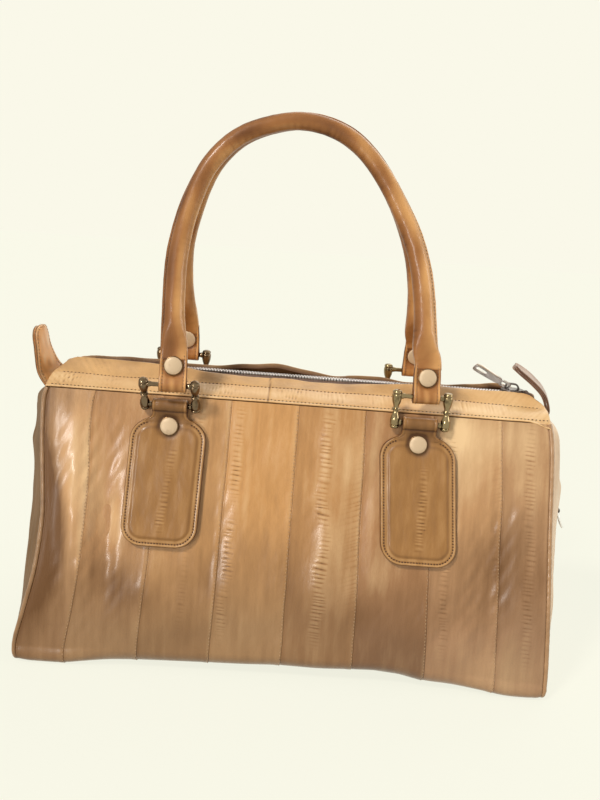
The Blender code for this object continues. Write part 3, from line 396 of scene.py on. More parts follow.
class Finish(Nodes):
    """A material on a Principled BSDF."""

    def __init__(self, name):
        self.material = bpy.data.materials.new(name)
        self.material.use_nodes = True
        super().__init__(self.material.node_tree)
        self.shader = self.tree.nodes["Principled BSDF"]

    def attribute(self, name):
        return Socket(self, self.node("ShaderNodeAttribute", {"attribute_name": name}).outputs["Fac"])

    def where(self, stretch=(1, 1, 1), source="Object", turn=(0, 0, 0)):
        """Object or UV coordinates, scaled and turned."""
        coordinates = self.node("ShaderNodeTexCoord").outputs[source]
        return self.node("ShaderNodeMapping", None, Vector=coordinates, Scale=stretch, Rotation=turn).outputs[0]

    def noise(self, stretch, detail=3.0, roughness=0.55, turn=(0, 0, 0)):
        made = self.node("ShaderNodeTexNoise", None, Vector=self.where(stretch, turn=turn), Scale=1.0,
                         Detail=detail, Roughness=roughness)
        return Socket(self, made.outputs["Fac"])

    def wave(self, stretch, direction="X"):
        made = self.node("ShaderNodeTexWave", {"bands_direction": direction},
                         Vector=self.where(stretch, "UV"), Scale=1.0, Distortion=0.0)
        return Socket(self, made.outputs["Fac"])

    def mix(self, share, a, b):
        return self.node("ShaderNodeMix", {"data_type": "RGBA"}, _0=share, _6=a, _7=b).outputs[2]

    def bump(self, height, distance):
        return self.node("ShaderNodeBump", None, Height=height, Distance=distance, Strength=1.0).outputs[0]

    def set(self, **inputs):
        for key, value in inputs.items():
            self.feed(self.shader.inputs[key.replace("_", " ")], value)
        return self.material


def leather(name, base, dark, pale, rough=0.32, grain=1.0, upright=True, paint=(74, 44, 26), coat=0.38,
            streak=1.0, low=None, ior=1.40, fade=0.066):
    """Glossy leather: soft clouds, upright streaks and pores, pale and bare where ridges are rubbed.

    Its colour is a base that the tone attribute and the noises push towards dark or pale; the tone attribute
    also holds painted shade and painted highlight. Where it is dark, wax dulls it. The low colour takes over
    towards the ground: partly the leather's own colour, partly painted shade of the lower wall. The edge
    attribute brings the painted edge.
    """
    finish = Finish(name)
    streaks = finish.noise((240, 16, 13) if upright else (60, 60, 60), 3.0, 0.5)
    fibres = finish.noise((600, 600, 90) if upright else (300, 300, 300), 2.0, 0.6)
    clouds = finish.noise((19, 19, 15), 3.0, 0.5)
    blotches = finish.noise((75, 75, 32), 4.0, 0.6)
    scratches = finish.noise((330, 330, 60), 3.0, 0.6, turn=(0, 0.55, 0))
    pores = finish.noise((1500, 1500, 1100), 2.0, 0.5)
    tone = finish.attribute("tone")
    for noise, power in ((streaks, 0.55), (clouds, 0.26), (blotches, 0.26), (fibres, 0.24), (scratches, 0.18)):
        tone = tone + (noise - 0.5) * (power * streak)
    # The dark share of the tone is wax and painted shade; its pale share is rubbed leather and painted highlight
    colour, worn, wax_and_shade = as_colour(*base), tone.clamp(), (tone * -1.0).clamp()
    # The low colour is partly the leather's own and partly painted shade of the lower wall
    if low:
        height = Socket(finish, finish.node("ShaderNodeSeparateXYZ", None, Vector=finish.where()).outputs[2])
        share = (1.50 - height / fade + (clouds - 0.5) * 0.35).clamp()
        colour = finish.mix(share, colour, as_colour(*low))
        worn = worn * (1 - share * 0.6)
    colour = finish.mix(wax_and_shade, colour, as_colour(*dark))
    colour = finish.mix(worn, colour, as_colour(*pale))
    edge = finish.attribute("edge")
    colour = finish.mix((edge * 0.95 + (fibres - 0.5) * edge * 0.6).clamp(), colour, as_colour(*paint))
    roughness = (blotches - 0.5) * 0.16 + (streaks - 0.5) * 0.06 + rough + edge * 0.15 + wax_and_shade * 0.105
    height = fibres * 0.15 + pores * 0.30 + streaks * 0.15 + blotches * 2.0 + scratches * 0.9
    return finish.set(Base_Color=colour, Roughness=roughness.clamp(), IOR=ior, Coat_Roughness=0.21,
                      Coat_Weight=(coat - edge * 0.2 - wax_and_shade * 0.35).clamp(),
                      Normal=finish.bump(height, 0.00022 * grain))


def metal(name, base, worn, rough, metallic=1.0, mottling=0.5):
    """Plated metal: a tarnish in patches, and fine rubbed marks."""
    finish = Finish(name)
    patches = finish.noise((160, 160, 160), 5.0, 0.65)
    marks = finish.noise((900, 900, 900), 3.0, 0.6)
    worn_share = ((patches - (0.62 - 0.2 * mottling)) * 5.0 + finish.attribute("tone") * 1.5).clamp()
    colour = finish.mix(worn_share, as_colour(*base), as_colour(*worn))
    roughness = rough + worn_share * 0.16 + (marks - 0.5) * 0.12
    return finish.set(Base_Color=colour, Roughness=roughness.clamp(), Metallic=metallic,
                      Normal=finish.bump(marks, 0.00006))


def cloth(name, base, thread, weave=1400, twill=False, rough=0.9, sheen=0.2):
    """Woven cloth: two crossed sets of threads on the piece's own map, or slanted ribs for a twill."""
    finish = Finish(name)
    warp = finish.wave((weave, weave * 0.8 if twill else 0.0, 1.0))
    weft = finish.wave((0.0, weave, 1.0), direction="Y")
    height = warp * 0.6 + weft * 0.5
    clouds = finish.noise((60, 60, 60), 3.0)
    share = (height * 0.7 + (clouds - 0.5) * 0.8 + finish.attribute("tone")).clamp()
    return finish.set(Base_Color=finish.mix(share, as_colour(*base), as_colour(*thread)), Roughness=rough,
                      Sheen_Weight=sheen, Normal=finish.bump(height, 0.00018))


# Each strip's colour, the colour near the ground and how high that reaches, from left to right on the front. The
# colour near the ground is partly the leather's own and partly painted shade of the lower wall.
# The colours that the tone attribute pushes towards: dark for wax and painted shade, pale for rubbed leather and
# painted highlight
TONES = {"dark": (112, 76, 42), "pale": (240, 204, 154)}
STRIP_BASES = ((206, 160, 112), (190, 141, 92), (194, 145, 92), (206, 152, 92), (192, 141, 86), (180, 131, 84),
               (192, 146, 99), (184, 141, 98))
STRIP_LOWS_WITH_SHADE = ((150, 112, 74), (160, 123, 84), (150, 113, 74), (164, 126, 85), (146, 107, 68), (130, 93, 60),
              (168, 128, 92), (160, 122, 88))
STRIP_FADES = (0.066, 0.070, 0.062, 0.080, 0.088, 0.074, 0.078, 0.098)
STRIP_LEATHERS = [leather(f"strip_leather_{number + 1}", base, **TONES, low=low, fade=fade)
                  for number, (base, low, fade) in enumerate(zip(STRIP_BASES, STRIP_LOWS_WITH_SHADE, STRIP_FADES))]
BAND_LEATHER = leather("band_leather", (216, 171, 114), (122, 86, 52), (246, 214, 162), rough=0.38,
                       upright=False, streak=0.7)
PATCH_LEATHER = leather("patch_leather", (158, 112, 59), (88, 56, 31), (214, 168, 112), rough=0.40, coat=0.30)
# The left piping's darker colour is painted shade and the right's lighter colour painted light, as on the end
# panels
PIPING_LEATHERS_SHADED_AND_LIT = {
    -1: leather("left_piping_leather", (150, 112, 74), (80, 50, 30), (196, 154, 110), upright=False),
    1: leather("right_piping_leather", (178, 138, 98), (104, 70, 46), (216, 178, 136), upright=False)}
HANDLE_LEATHER = leather("handle_leather", (160, 105, 54), (98, 58, 30), (224, 168, 104), rough=0.40, grain=1.1,
                         upright=False, coat=0.3, paint=(84, 48, 26), streak=0.7, ior=1.34)
# The end panels are lit and shaded copies of one leather: the right one's pale colour is painted light, the left
# one's dark colour painted shade
LIT_GUSSET_LEATHER = leather("gusset_leather", (246, 208, 164), (182, 144, 112), (250, 226, 194), rough=0.40,
                         upright=False, coat=0.25)
SHADED_LEFT_GUSSET_LEATHER = leather("left_gusset_leather", (118, 90, 60), (80, 60, 44), (150, 118, 86), rough=0.55,
                              upright=False, coat=0.0, ior=1.2)
# The left tab's brighter colour, beyond the right tab's, is painted light on the face that turns to the camera
TAB_LEATHERS_LIT_AND_SHADED = {
    "left": leather("left_tab_leather", (252, 186, 116), (190, 128, 76), (254, 214, 162), upright=False),
    "right": leather("right_tab_leather", (176, 136, 112), (96, 64, 50), (214, 180, 154), upright=False)}
BASE_LEATHER = leather("base_leather", (160, 120, 86), (100, 70, 48), (200, 160, 120), rough=0.45,
                       upright=False)
THREAD = cloth("tan_thread", (140, 96, 58), (196, 150, 100), weave=4000, rough=0.7)
DARK_THREAD = cloth("dark_thread", (70, 40, 20), (112, 70, 38), sheen=0.0, weave=4000, rough=0.7)
PALE_THREAD = cloth("pale_thread", (196, 150, 104), (232, 196, 148), weave=4000, rough=0.7)
LINK_METALS = {"left": metal("left_aged_metal", (120, 102, 80), (58, 46, 36), 0.14),
               "right": metal("right_aged_metal", (146, 128, 96), (52, 42, 30), 0.16)}
SLIDER_METAL = metal("slider_metal", (112, 104, 100), (60, 54, 50), 0.28)
CAP_METAL = metal("cap_metal", (210, 184, 150), (182, 156, 124), 0.46, metallic=0.15, mottling=0.1)
# The rim's dark colour is painted shade round the cap
CAP_RIM_PAINTED_SHADE = metal("cap_rim_painted_shade", (112, 88, 62), (70, 52, 36), 0.35)
ZIP_METAL = metal("zip_metal", (214, 208, 207), (138, 130, 130), 0.24)
PULL_METAL = metal("pull_metal", (250, 248, 246), (190, 184, 180), 0.30, metallic=0.9, mottling=0.1)
ZIP_CLOTH = cloth("zip_cloth", (104, 74, 54), (138, 102, 76), weave=1900, twill=True)
LINING_CLOTH = cloth("lining_cloth", (92, 66, 48), (136, 104, 78), weave=1500)
POCKET_CLOTH = cloth("pocket_cloth", (110, 84, 62), (156, 124, 96), weave=1500)
CORD = cloth("cord_fibre", (178, 160, 126), (224, 208, 176), weave=1200, twill=True)
BOARD = leather("stiff_board", (150, 124, 92), (110, 88, 62), (184, 158, 120), rough=0.9, upright=False,
                coat=0.0)


# Walls

# How far the soft walls' end seams stand out beyond straight lines, in millimetres: height, left end, right end
SOFT_ENDS = smooth_path([(0, -0.8, -1.0), (5, 2.2, 1.8), (16, 3.6, 2.8), (40, -0.4, 2.8), (65, -4.2, 2.8),
                         (88, -4.8, 3.4), (108, -3.6, 3.8), (132, 0.4, 4.6), (152, 3.8, 5.4), (168, 5.8, 5.6),
                         (178, 6.4, 5.0), (184.5, 5.2, 3.8)], 12) * 0.001
# How far the middles of the end panels stand out beyond the gusset's, the same way
SOFT_MIDDLES = smooth_path([(0, 0, 0), (50, -1.2, -0.4), (105, -4.4, -1.6), (132, -4.6, -3.0),
                            (144, -1.8, -0.6), (152, 0.2, 2.8), (160, 4.6, 6.8), (168, 9.6, 10.4),
                            (176, 11.6, 10.4), (184.5, 1.2, 2.0)], 12) * 0.001
# How far the base's long edges arch up along the bag, in millimetres: place and rise
BASE_ARCH = smooth_path([(-178, 0), (-150, 0), (-135, 1.5), (-108, 3.5), (-90, 4.6), (-50, 6.0), (-25, 6.8),
                         (0, 8.0), (25, 7.8), (50, 9.0), (65, 9.4), (80, 8.0), (95, 5.0), (120, 3.4),
                         (138, 2.2), (155, 0), (178, 0)], 6) * 0.001


def soft_reach(table, side, height):
    return np.interp(height, table[:, 0], table[:, 1 if side < 0 else 2])


def half_width(height):
    return BASE_HALF_WIDTH + (TOP_HALF_WIDTH - BASE_HALF_WIDTH) * height / SEAM_HEIGHT


def end_width(side, height):
    """Half width of the walls at their end seams: a straight slope and the soft outline's reach."""
    return half_width(height) + soft_reach(SOFT_ENDS, side, height)


def slope_half_depth(height):
    return TOP_HALF_DEPTH + (SEAM_HEIGHT - height) * math.tan(WALL_LEAN)


def seam_x(share, height):
    """Where a seam at a share of the half width stands: the seams near an end follow its soft outline."""
    side = -1 if share < 0 else 1
    line = abs(share) * (half_width(height) + soft_reach(SOFT_ENDS, side, height) * abs(share) ** 2)
    waver = 0.0003 * ripple(height, height, 0.110, 0.070, round(abs(share) * 1000) + 7) * (abs(share) < 1)
    return side * line + waver


def wall_section():
    """Even lengths along the wall and its half depth, height and outward normal there.

    It is a flat, a quarter circle, a parabola through a corner and a straight slope.
    """
    flat = BASE_HALF_DEPTH - BASE_RADIUS
    quarter = np.radians(np.linspace(-90, 0, 60))
    slope_start = slope_half_depth(SLOPE_START)
    start, end = np.array([BASE_HALF_DEPTH, BASE_RADIUS]), np.array([slope_start, SLOPE_START])
    bend = np.array([BASE_HALF_DEPTH, SLOPE_START - (BASE_HALF_DEPTH - slope_start) / math.tan(WALL_LEAN)])
    t = np.linspace(0, 1, 120)[:, None]
    line = np.vstack([[[flat - TURN_UNDER, 0]],
                      stack(flat + BASE_RADIUS * np.cos(quarter), BASE_RADIUS + BASE_RADIUS * np.sin(quarter)),
                      (start * (1 - t) ** 2 + bend * 2 * t * (1 - t) + end * t ** 2)[1:],
                      [[slope_half_depth(WALL_TOP), WALL_TOP]]])
    length = path_length(line)
    even = np.linspace(0, length[-1], 2000)
    line = at_length(even, length, line)
    heading = unit(np.gradient(line, axis=0))
    return even, (line[:, 0], line[:, 1], heading[:, 1], -heading[:, 0])


WALL_STEPS, WALL_SECTION = wall_section()
WALL_LENGTH = WALL_STEPS[-1]


def wall_line(places, inset=0.0):
    """Half depth, height and outward normal at shares of the wall's length, moved inwards by an inset."""
    depth, height, out, up = (np.interp(places * WALL_LENGTH, WALL_STEPS, values) for values in WALL_SECTION)
    return depth - inset * out, height - inset * up, out, up


# Bands of creases: strip, distance from its left seam at the top and at the base, half width, strength
TICKS = {-1: ((3, 0.0080, 0.0050, 0.0028, 0.8), (4, 0.0205, 0.0215, 0.0034, 1.2),
              (6, 0.0120, 0.0100, 0.0026, 0.6), (7, 0.0180, 0.0190, 0.0030, 0.7),
              (2, 0.0240, 0.0260, 0.0022, 0.35)),
         1: ((0, 0.0150, 0.0210, 0.0040, 0.7), (2, 0.0190, 0.0240, 0.0040, 1.0),
             (3, 0.0250, 0.0200, 0.0038, 0.6), (5, 0.0160, 0.0150, 0.0045, 1.0),
             (6, 0.0250, 0.0300, 0.0035, 0.6), (7, 0.0160, 0.0180, 0.0045, 0.8))}
# Seams whose left side is drawn into puckers, with their strength
PUCKERS = {-1: {4: 0.7, 3: 0.15, 6: 0.30}, 1: {2: 0.8, 5: 0.6, 0: 0.4}}
# Soft spots of the walls. Each: strength, middle and half width along X, middle and half height in millimetres,
# and how far it leans to the left as it rises. For the folds the strength is in millimetres too.
FOLDS = {-1: ((4.2, -140.5, 8.5, 105, 45, 0.10), (-2.6, -157, 11, 95, 40, 0.20),
              (-2.0, -120.6, 7, 92, 34, 0.05), (1.6, -109.8, 6, 92, 26, -0.10),
              (1.4, -134, 11, 62, 20, 0.5), (0.9, -85, 13, 50, 18, 0.6),
              (-1.8, 134.25, 10, 55, 40, 0.15), (0.9, 119, 11, 35, 28, -0.20), (1.6, 151, 7, 110, 50, 0.05)),
         1: ((2.4, 120, 10, 90, 40, 0.15), (-2.0, -129, 11, 80, 45, -0.10))}
CRUMPLED = ((1.0, -134, 22, 105, 42, 0), (0.6, 125, 30, 90, 60, 0))
# Tone spots: painted shade on the left end, and spots that mix rubbed patches with painted highlight on folds
# and painted shade
LEFT_SHADE = ((-1.90, 7, 15, 92, 56, 0), (-0.40, 18, 28, 178, 16, 0))
WEAR_AND_PAINTED_LIGHT = ((-0.40, 152, 34, 85, 36, 0), (0.40, 130, 30, 174, 12, 0), (0.85, -143.44, 15, 122, 44, 0.12),
        (0.45, -115.9, 6, 98, 22, 0.05), (-0.45, -126, 12, 70, 26, 0), (-0.55, -112, 12, 60, 24, 0),
        (-0.40, 55, 14, 50, 14, 0), (-0.35, -45, 10, 70, 22, 0), (-0.30, 6, 10, 64, 24, 0),
        (0.40, 106, 10, 168, 14, 0), (-0.28, -16, 22, 78, 24, 0), (0.35, 30, 13, 88, 34, 0),
        (-0.42, 136, 20, 95, 32, 0), (0.50, 104, 10, 178, 12, 0), (-0.40, -96.5, 20, 55, 14, 0.30),
        (-0.25, -62, 16, 70, 40, 0), (-0.35, 94, 30, 60, 22, 0), (0.25, 40, 20, 150, 25, 0),
        (0.45, 112, 16, 155, 30, 0), (0.30, 62, 10, 80, 30, 0), (0.35, 152, 12, 158, 30, 0),
        (0.45, 150, 30, 12, 26, 0))


def spots(x, z, rows):
    x, z = x * 1000, z * 1000
    return sum(strength * hump(x + lean * (z - height), middle, width) * hump(z, height, reach)
               for strength, middle, width, height, reach, lean in rows)


def patch_clear(x, z):
    """0 under the patches and 1 away from them."""
    clear = 1.0
    for place in LINK_PLACES.values():
        clear = clear * np.maximum(ease(0.022, 0.034, np.abs(x - place)), 1 - ease(0.060, 0.078, z))
    return clear


def wall_swell(side, x, z):
    """How far the soft wall stands in or out: wide waves, upright folds and dents, none where it is held."""
    reach = np.where(x > 0, end_width(1, z), end_width(-1, z))
    free = ease(0.0, 0.022, WALL_TOP - z) * ease(0.003, 0.016, reach - np.abs(x)) * ease(0.0, 0.03, z)
    waves = 0.0015 * ripple(x, z, 0.080, 0.110, 11 + side) + 0.00055 * ripple(x, z, 0.026, 0.060, 23 + side)
    slanted, upright = 0.86 * x - 0.5 * z, 0.5 * x + 0.86 * z
    small = 0.00042 * ripple(slanted, upright, 0.0065, 0.022, 31 + side) * (spots(x, z, CRUMPLED) + 0.15)
    sag = -0.0014 * (1 - (x / half_width(z)) ** 2) * hump(z, 0.100, 0.050)
    return free * (waves + 0.001 * spots(x, z, FOLDS[side]) + small + sag) * (0.2 + 0.8 * patch_clear(x, z))


def arch_lift(x, y, z):
    """How far the base's long edges and what stands on them arch up between the corners, less to the middle."""
    rise = np.interp(x, BASE_ARCH[:, 0], BASE_ARCH[:, 1])
    return rise * ease(0.010, 0.056, np.abs(y)) * ease(0.075, 0.0, z)


def corner_fill(x, height):
    """How far the lower long corners are filled out near the bag's ends, where its weight rests."""
    return 0.0030 * ease(0.11, 0.145, np.abs(x)) * (1 - np.exp(-height / 0.0022)) * ease(0.014, 0.004, height)


def wall_point(side, x, places, swell):
    """The wall's surface at x and a share of its length, moved outwards by swell, with an arched lower edge."""
    depth, height, out, up = wall_line(places)
    tuck = 0.0010 * ease(0.012, 0.0, end_width(1, height) - np.abs(x)) * ease(0.012, 0.0, height)
    lift = arch_lift(x, depth, height) + tuck
    swell = swell + corner_fill(x, height) * (swell > -0.0012)
    return stack(x, side * (depth + swell * out), height + swell * up + lift)


def wall_tone(side, x, z):
    """Large soft areas on the wall: painted shade along its ends and in patches, painted highlight on the folds
    that stand out, and rubbed patches.
    """
    left, right = end_width(-1, z) + x, end_width(1, z) - x
    # Painted shade along both ends, where the wall turns away from the light
    tone = -0.40 * hump(left, 0.0, 0.010) - 0.25 * hump(right, 0.0, 0.008)
    tone = tone + 0.06 * ripple(x, z, 0.030, 0.060, 171 + side) + 0.08 * ripple(x, z, 0.009, 0.045, 173 + side)
    # The left-end spots are painted shade; the other spots mix rubbed patches with painted highlight and painted
    # shade
    return tone + (spots(left, z, LEFT_SHADE) + spots(x, z, WEAR_AND_PAINTED_LIGHT) if side < 0 else 0)


def strip_relief(side, number, x, left, right, places):
    """Swell and tone of one strip: rolled edges, a sunk stitch row, puckers, bands of creases and folds."""
    height = wall_line(places)[1]
    along = places * WALL_LENGTH
    from_left, from_right = x - left, right - x
    seed = 100 * (number + 1) + side
    swell = (0.00022 * hump(from_right, 0.0022, 0.0014) - 0.00010 * hump(from_left, 0.0012, 0.0010)
             - 0.00026 * rolled(from_left, 0.0006) - 0.00030 * rolled(from_right, 0.0009))
    # The pale line along the rolled right edge is painted highlight
    tone = (0.22 * hump(from_right, 0.0014, 0.0009) - 0.16 * hump(from_left, 0.0006, 0.0018)
            - 0.25 * np.clip(1 - from_left / 0.00035, 0, 1))
    strength = PUCKERS[side].get(number, 0.10)
    pucker = ticks(from_right * 0.2, along + 0.35 * from_right, 0.0045, 0.0031, seed + 7)
    reach = np.exp(-np.maximum(from_right - 0.0015, 0) / (0.002 + 0.004 * strength))
    reach = strength * reach * ease(0.0, 0.0014, from_right)
    reach = reach * (hump(height, 0.100, 0.050) if strength > 0.5 else 0.8)
    swell = swell + 0.00040 * pucker * reach
    # The puckers' tone darkens their valleys: painted shade in the creases
    tone = tone + 0.90 * np.minimum(pucker, 0.12) * reach
    for strip, top, base, band, power in TICKS[side]:
        if strip == number:
            waver = 0.0016 * ripple(along, along, 0.09, 0.07, seed + 3)
            middle = left + base + (top - base) * height / SEAM_HEIGHT + waver
            marks = ticks(x - middle, along, band, 0.0030, seed + 9 + round(base * 1000), slant=0.10)
            fade = power * ease(0.012, 0.045, height) * ease(0.0, 0.010, WALL_TOP - height)
            swell = swell + (0.00034 * marks + 0.0003 * hump(x, middle, band * 1.5)) * fade
            # The creases' tone is painted shade in their valleys, with a painted highlight over the band
            tone = tone + 1.4 * np.minimum(marks, 0.12) * fade + 0.10 * power * hump(x, middle, band * 1.8)
    return swell + wall_swell(side, x, height), tone + wall_tone(side, x, height)


NEAR_SEAM = (0, 0.00012, 0.0003, 0.0006, 0.001, 0.0014, 0.0019, 0.0024)
STRIP_WIDTH = 0.170
STRIP_STEP = 0.00095
SEAM_GAP = 0.00004


def make_strip(side, label, number, seam_thread):
    """A strip of the wall between two fanned seams, with a plain back, and the stitches at its right seam."""
    rows = np.linspace(0, 1, 396)
    shares = SEAM_SHARES[number:number + 2]
    width = (shares[1] - shares[0]) * STRIP_WIDTH
    height = wall_line(rows)[1]
    left, right = ((seam_x(share, height) + inward * (EDGE_INSET if abs(share) == 1 else SEAM_GAP))[:, None]
                   for share, inward in zip(shares, (1, -1)))
    x = left + (right - left) * spacing(width, NEAR_SEAM, STRIP_STEP) / width
    places = np.broadcast_to(rows[:, None], x.shape)
    swell, tone = strip_relief(side, number, x, left, right, places)
    held = 0.3 + 0.7 * ease(0, 0.006, places) * ease(0, 0.004, 1 - places)
    front = wall_point(side, x, places, swell * held)
    below = WALL_TOP - height
    thick = (0.0005 + (LEATHER - 0.0005) * ease(0.0, 0.0022, below)
             + 0.0022 * ease(0.004, 0.03, below) * ease(0.01, 0.035, height))
    back = wall_point(side, np.hstack([right, left]), places[:, :2], -np.stack([thick, thick], -1))
    Shape().grid(np.hstack([front, back]), flip=side > 0, tone=np.pad(tone, ((0, 0), (0, 2)))).make(
        f"{label}_strip_{number + 1}_leather", STRIP_LEATHERS[number if side < 0 else 7 - number], "bag",
        "strip_leather", f"{label}_strip_{number + 1}")
    if number < 7:
        row, at = right - 0.0008, rows[:, None]
        path = wall_point(side, row, at, strip_relief(side, number, row, left, right, at)[0])[:, 0]
        out, up = wall_line(rows)[2:]
        keep = (rows > 0.03) & (rows < 0.985)
        stitches(seam_thread, path[keep], stack(0, side * out, up)[keep], "seam")


for label, side in SIDES.items():
    seam_thread = Shape()
    for number in range(8):
        make_strip(side, label, number, seam_thread)
    seam_thread.make(f"{label}_seam_thread", PALE_THREAD, "bag", "strip_leather")


# End panels, piping, base and lining

def end_edge(share):
    """Half length, half depth and height of the rounded end of the top, from its seam to the zip."""
    rise = share * BAND_WIDTH
    length = TOP_HALF_WIDTH - END_ROUND * (1 - np.sqrt(1 - share ** 2))
    return length, TOP_HALF_DEPTH - rise * math.cos(BAND_SLOPE), SEAM_HEIGHT + rise * math.sin(BAND_SLOPE)


def gusset_reach(height):
    """Half length of the bag at the middle of its end, which swells and then runs straight up."""
    low = BASE_HALF_WIDTH + (GUSSET_HALF_LENGTH - BASE_HALF_WIDTH) * ease(0, GUSSET_FLAT[0], height)
    top = TOP_HALF_WIDTH + GUSSET_TOP_BULGE
    return low + (top - GUSSET_HALF_LENGTH) * ease(GUSSET_FLAT[1], SEAM_HEIGHT, height)


def wall_rows(inset, top, step):
    """Half depth and height of the wall, moved inwards, from the start of its lower corner to a height."""
    places = np.linspace(TURN_UNDER / WALL_LENGTH, 1, round(WALL_LENGTH / step))
    depth, height = wall_line(places, inset)[:2]
    return np.vstack([stack(depth, height), (slope_half_depth(top) - inset / math.cos(WALL_LEAN), top)])


# The slot for the side zip: half width, low end and high end, and the share of the panel's columns beside it
SLOT = (0.0050, 0.040, 0.127)
SLOT_SHARE = 0.2889


def make_gusset(side, name):
    """An end panel: a parabola across from its piped edges to the swollen middle, with soft standing folds."""
    line = wall_rows(EDGE_INSET, SEAM_HEIGHT, 0.0014)
    share = np.linspace(0, END_COVER, 22)[1:]
    length, depth, height = end_edge(share)
    edge = np.concatenate([end_width(side, line[:, 1]), length + 0.002 * (1 - share)]) - 0.0006
    soft_middle = soft_reach(SOFT_MIDDLES, side, line[:, 1])
    middle = np.concatenate([gusset_reach(line[:, 1]) + soft_middle,
                             length + GUSSET_TOP_BULGE * (1 - share / END_COVER)])
    middle = np.maximum(middle, edge + 0.0004)
    depth = np.concatenate([line[:, 0], depth - EDGE_INSET])[:, None]
    height = np.concatenate([line[:, 1], height])[:, None]
    across = np.sort(np.concatenate([np.linspace(-1, 1, 91), [-0.995, -0.985, 0.985, 0.995]]))[None, :]
    pocketed = side > 0
    if pocketed:
        for mark in SLOT[1:]:
            height[np.abs(height - mark).argmin()] = mark
        slot = SLOT[0] / np.maximum(depth, 0.012)
        outer = np.sign(across) * (slot + (np.abs(across) - SLOT_SHARE) / (1 - SLOT_SHARE) * (1 - slot))
        across = np.where(np.abs(across) <= SLOT_SHARE, across / SLOT_SHARE * slot, outer)
    y = across * depth
    off_zip = np.abs(y)
    reach = edge[:, None] + (middle - edge)[:, None] * (1 - across ** 2)
    if pocketed:
        sunk = np.concatenate([np.minimum(soft_middle, 0), 0 * share])[:, None] * (1 - across ** 2)
        reach = reach - sunk * ease(0.024, 0.010, off_zip) * ease(0.146, 0.132, height)
    inward = depth - off_zip
    soft = ease(0, 0.02, inward) * ease(0.002, 0.02, height) * ease(0, 0.02, height[-1] - height)
    folds = (0.0008 * ripple(y, height, 0.030, 0.110, 41 + side)
             + 0.00035 * ripple(y, height, 0.010, 0.060, 47 + side))
    if pocketed:
        folds = folds * (1 - 0.92 * (1 - ease(0.008, 0.018, off_zip)))
    else:
        folds = folds - 0.0012 * hump(y, 0.0, 0.006) * ease(0.06, 0.12, height)
    fine = 0.00012 * ripple(y, height, 0.004, 0.018, 53 + side)
    pleats = np.sin(math.tau * height / 0.0042 + 2 * ripple(y, height, 0.03, 0.03, 59))
    swell = soft * (folds + fine) + 0.00022 * pleats * hump(inward, 0.002, 0.004)
    front = stack(side * (reach + swell), y, height)
    keep = np.ones((front.shape[0] - 1, front.shape[1] - 1), bool)
    if pocketed:
        centre_y, centre_z = (y[:-1, :-1] + y[1:, 1:]) / 2, (height[:-1] + height[1:]) / 2
        keep = (np.abs(centre_y) >= SLOT[0]) | (centre_z <= SLOT[1]) | (centre_z >= SLOT[2])
    tone = 0.16 * ripple(y, height, 0.02, 0.06, 61 + side) - 0.5 * hump(inward, 0, 0.0015)
    back = front - (side * LEATHER, 0, 0)
    Shape().sheet(front, back, keep, tone=tone, place=front[..., 1:], mirror=side < 0).make(
        # The right end panel takes the painted-light copy, the left one the painted-shade copy
        f"{name}_leather", LIT_GUSSET_LEATHER if side > 0 else SHADED_LEFT_GUSSET_LEATHER, "bag", "gusset_leather", name)


def tube(shape, path, radius, sides=14, across=(0, 1, 0), tone=0.0):
    """A round section carried along a path: cosine and sine of even angles across and over its direction."""
    along = unit(np.gradient(path, axis=0))
    first = unit(np.cross(np.broadcast_to(across, path.shape), along))
    second = np.cross(along, first)
    angle = turns(sides)
    radius = np.broadcast_to(radius, (len(path),))[:, None]
    points = path[:, None] + radius[..., None] * (np.cos(angle)[:, None] * first[:, None]
                                                  + np.sin(angle)[:, None] * second[:, None])
    return shape.grid(points, tone=tone, place=stack(angle * radius, np.arange(len(path))[:, None] * 0.001))


def make_piping(side, name):
    """A leather-covered cord down the front corner, along the base and up the back corner, with a sewn seam."""
    line = wall_rows(PIPING_RADIUS, WALL_TOP, 0.0009)[:-1]
    fill = corner_fill(side * 0.17, line[:, 1])
    rising = stack(side * (end_width(side, line[:, 1]) - PIPING_RADIUS - 0.0004), -line[:, 0] - 0.7 * fill,
                   line[:, 1] + 0.0009 * ease(0.012, 0.0, line[:, 1]) - 0.6 * fill)
    base = np.linspace(-line[0, 0], line[0, 0], 110)[1:-1]
    path = np.vstack([rising[::-1], stack(rising[0, 0], base, rising[0, 2]), rising * (1, -1, 1)])
    length = np.arange(len(path)) * 0.0009
    radius = PIPING_RADIUS * (0.96 + 0.05 * ripple(length, length, 0.006, 0.02, 71 + side))
    tone = 0.12 * ripple(length, length, 0.012, 0.02, 73 + side)[:, None]
    cord = tube(Shape(), path, radius, across=(1, 0, 0), tone=tone)
    for y_side, end in ((-1, rising[::-1]), (1, rising)):
        seam = end * (1, -y_side, 1) + (-side * 0.0021, y_side * 0.0009, 0)
        tube(cord, seam, 0.00042, sides=6, across=(1, 0, 0), tone=-1.0)
    cord.make(f"{name}_cord", PIPING_LEATHERS_SHADED_AND_LIT[side], "bag", "trim_leather", name)


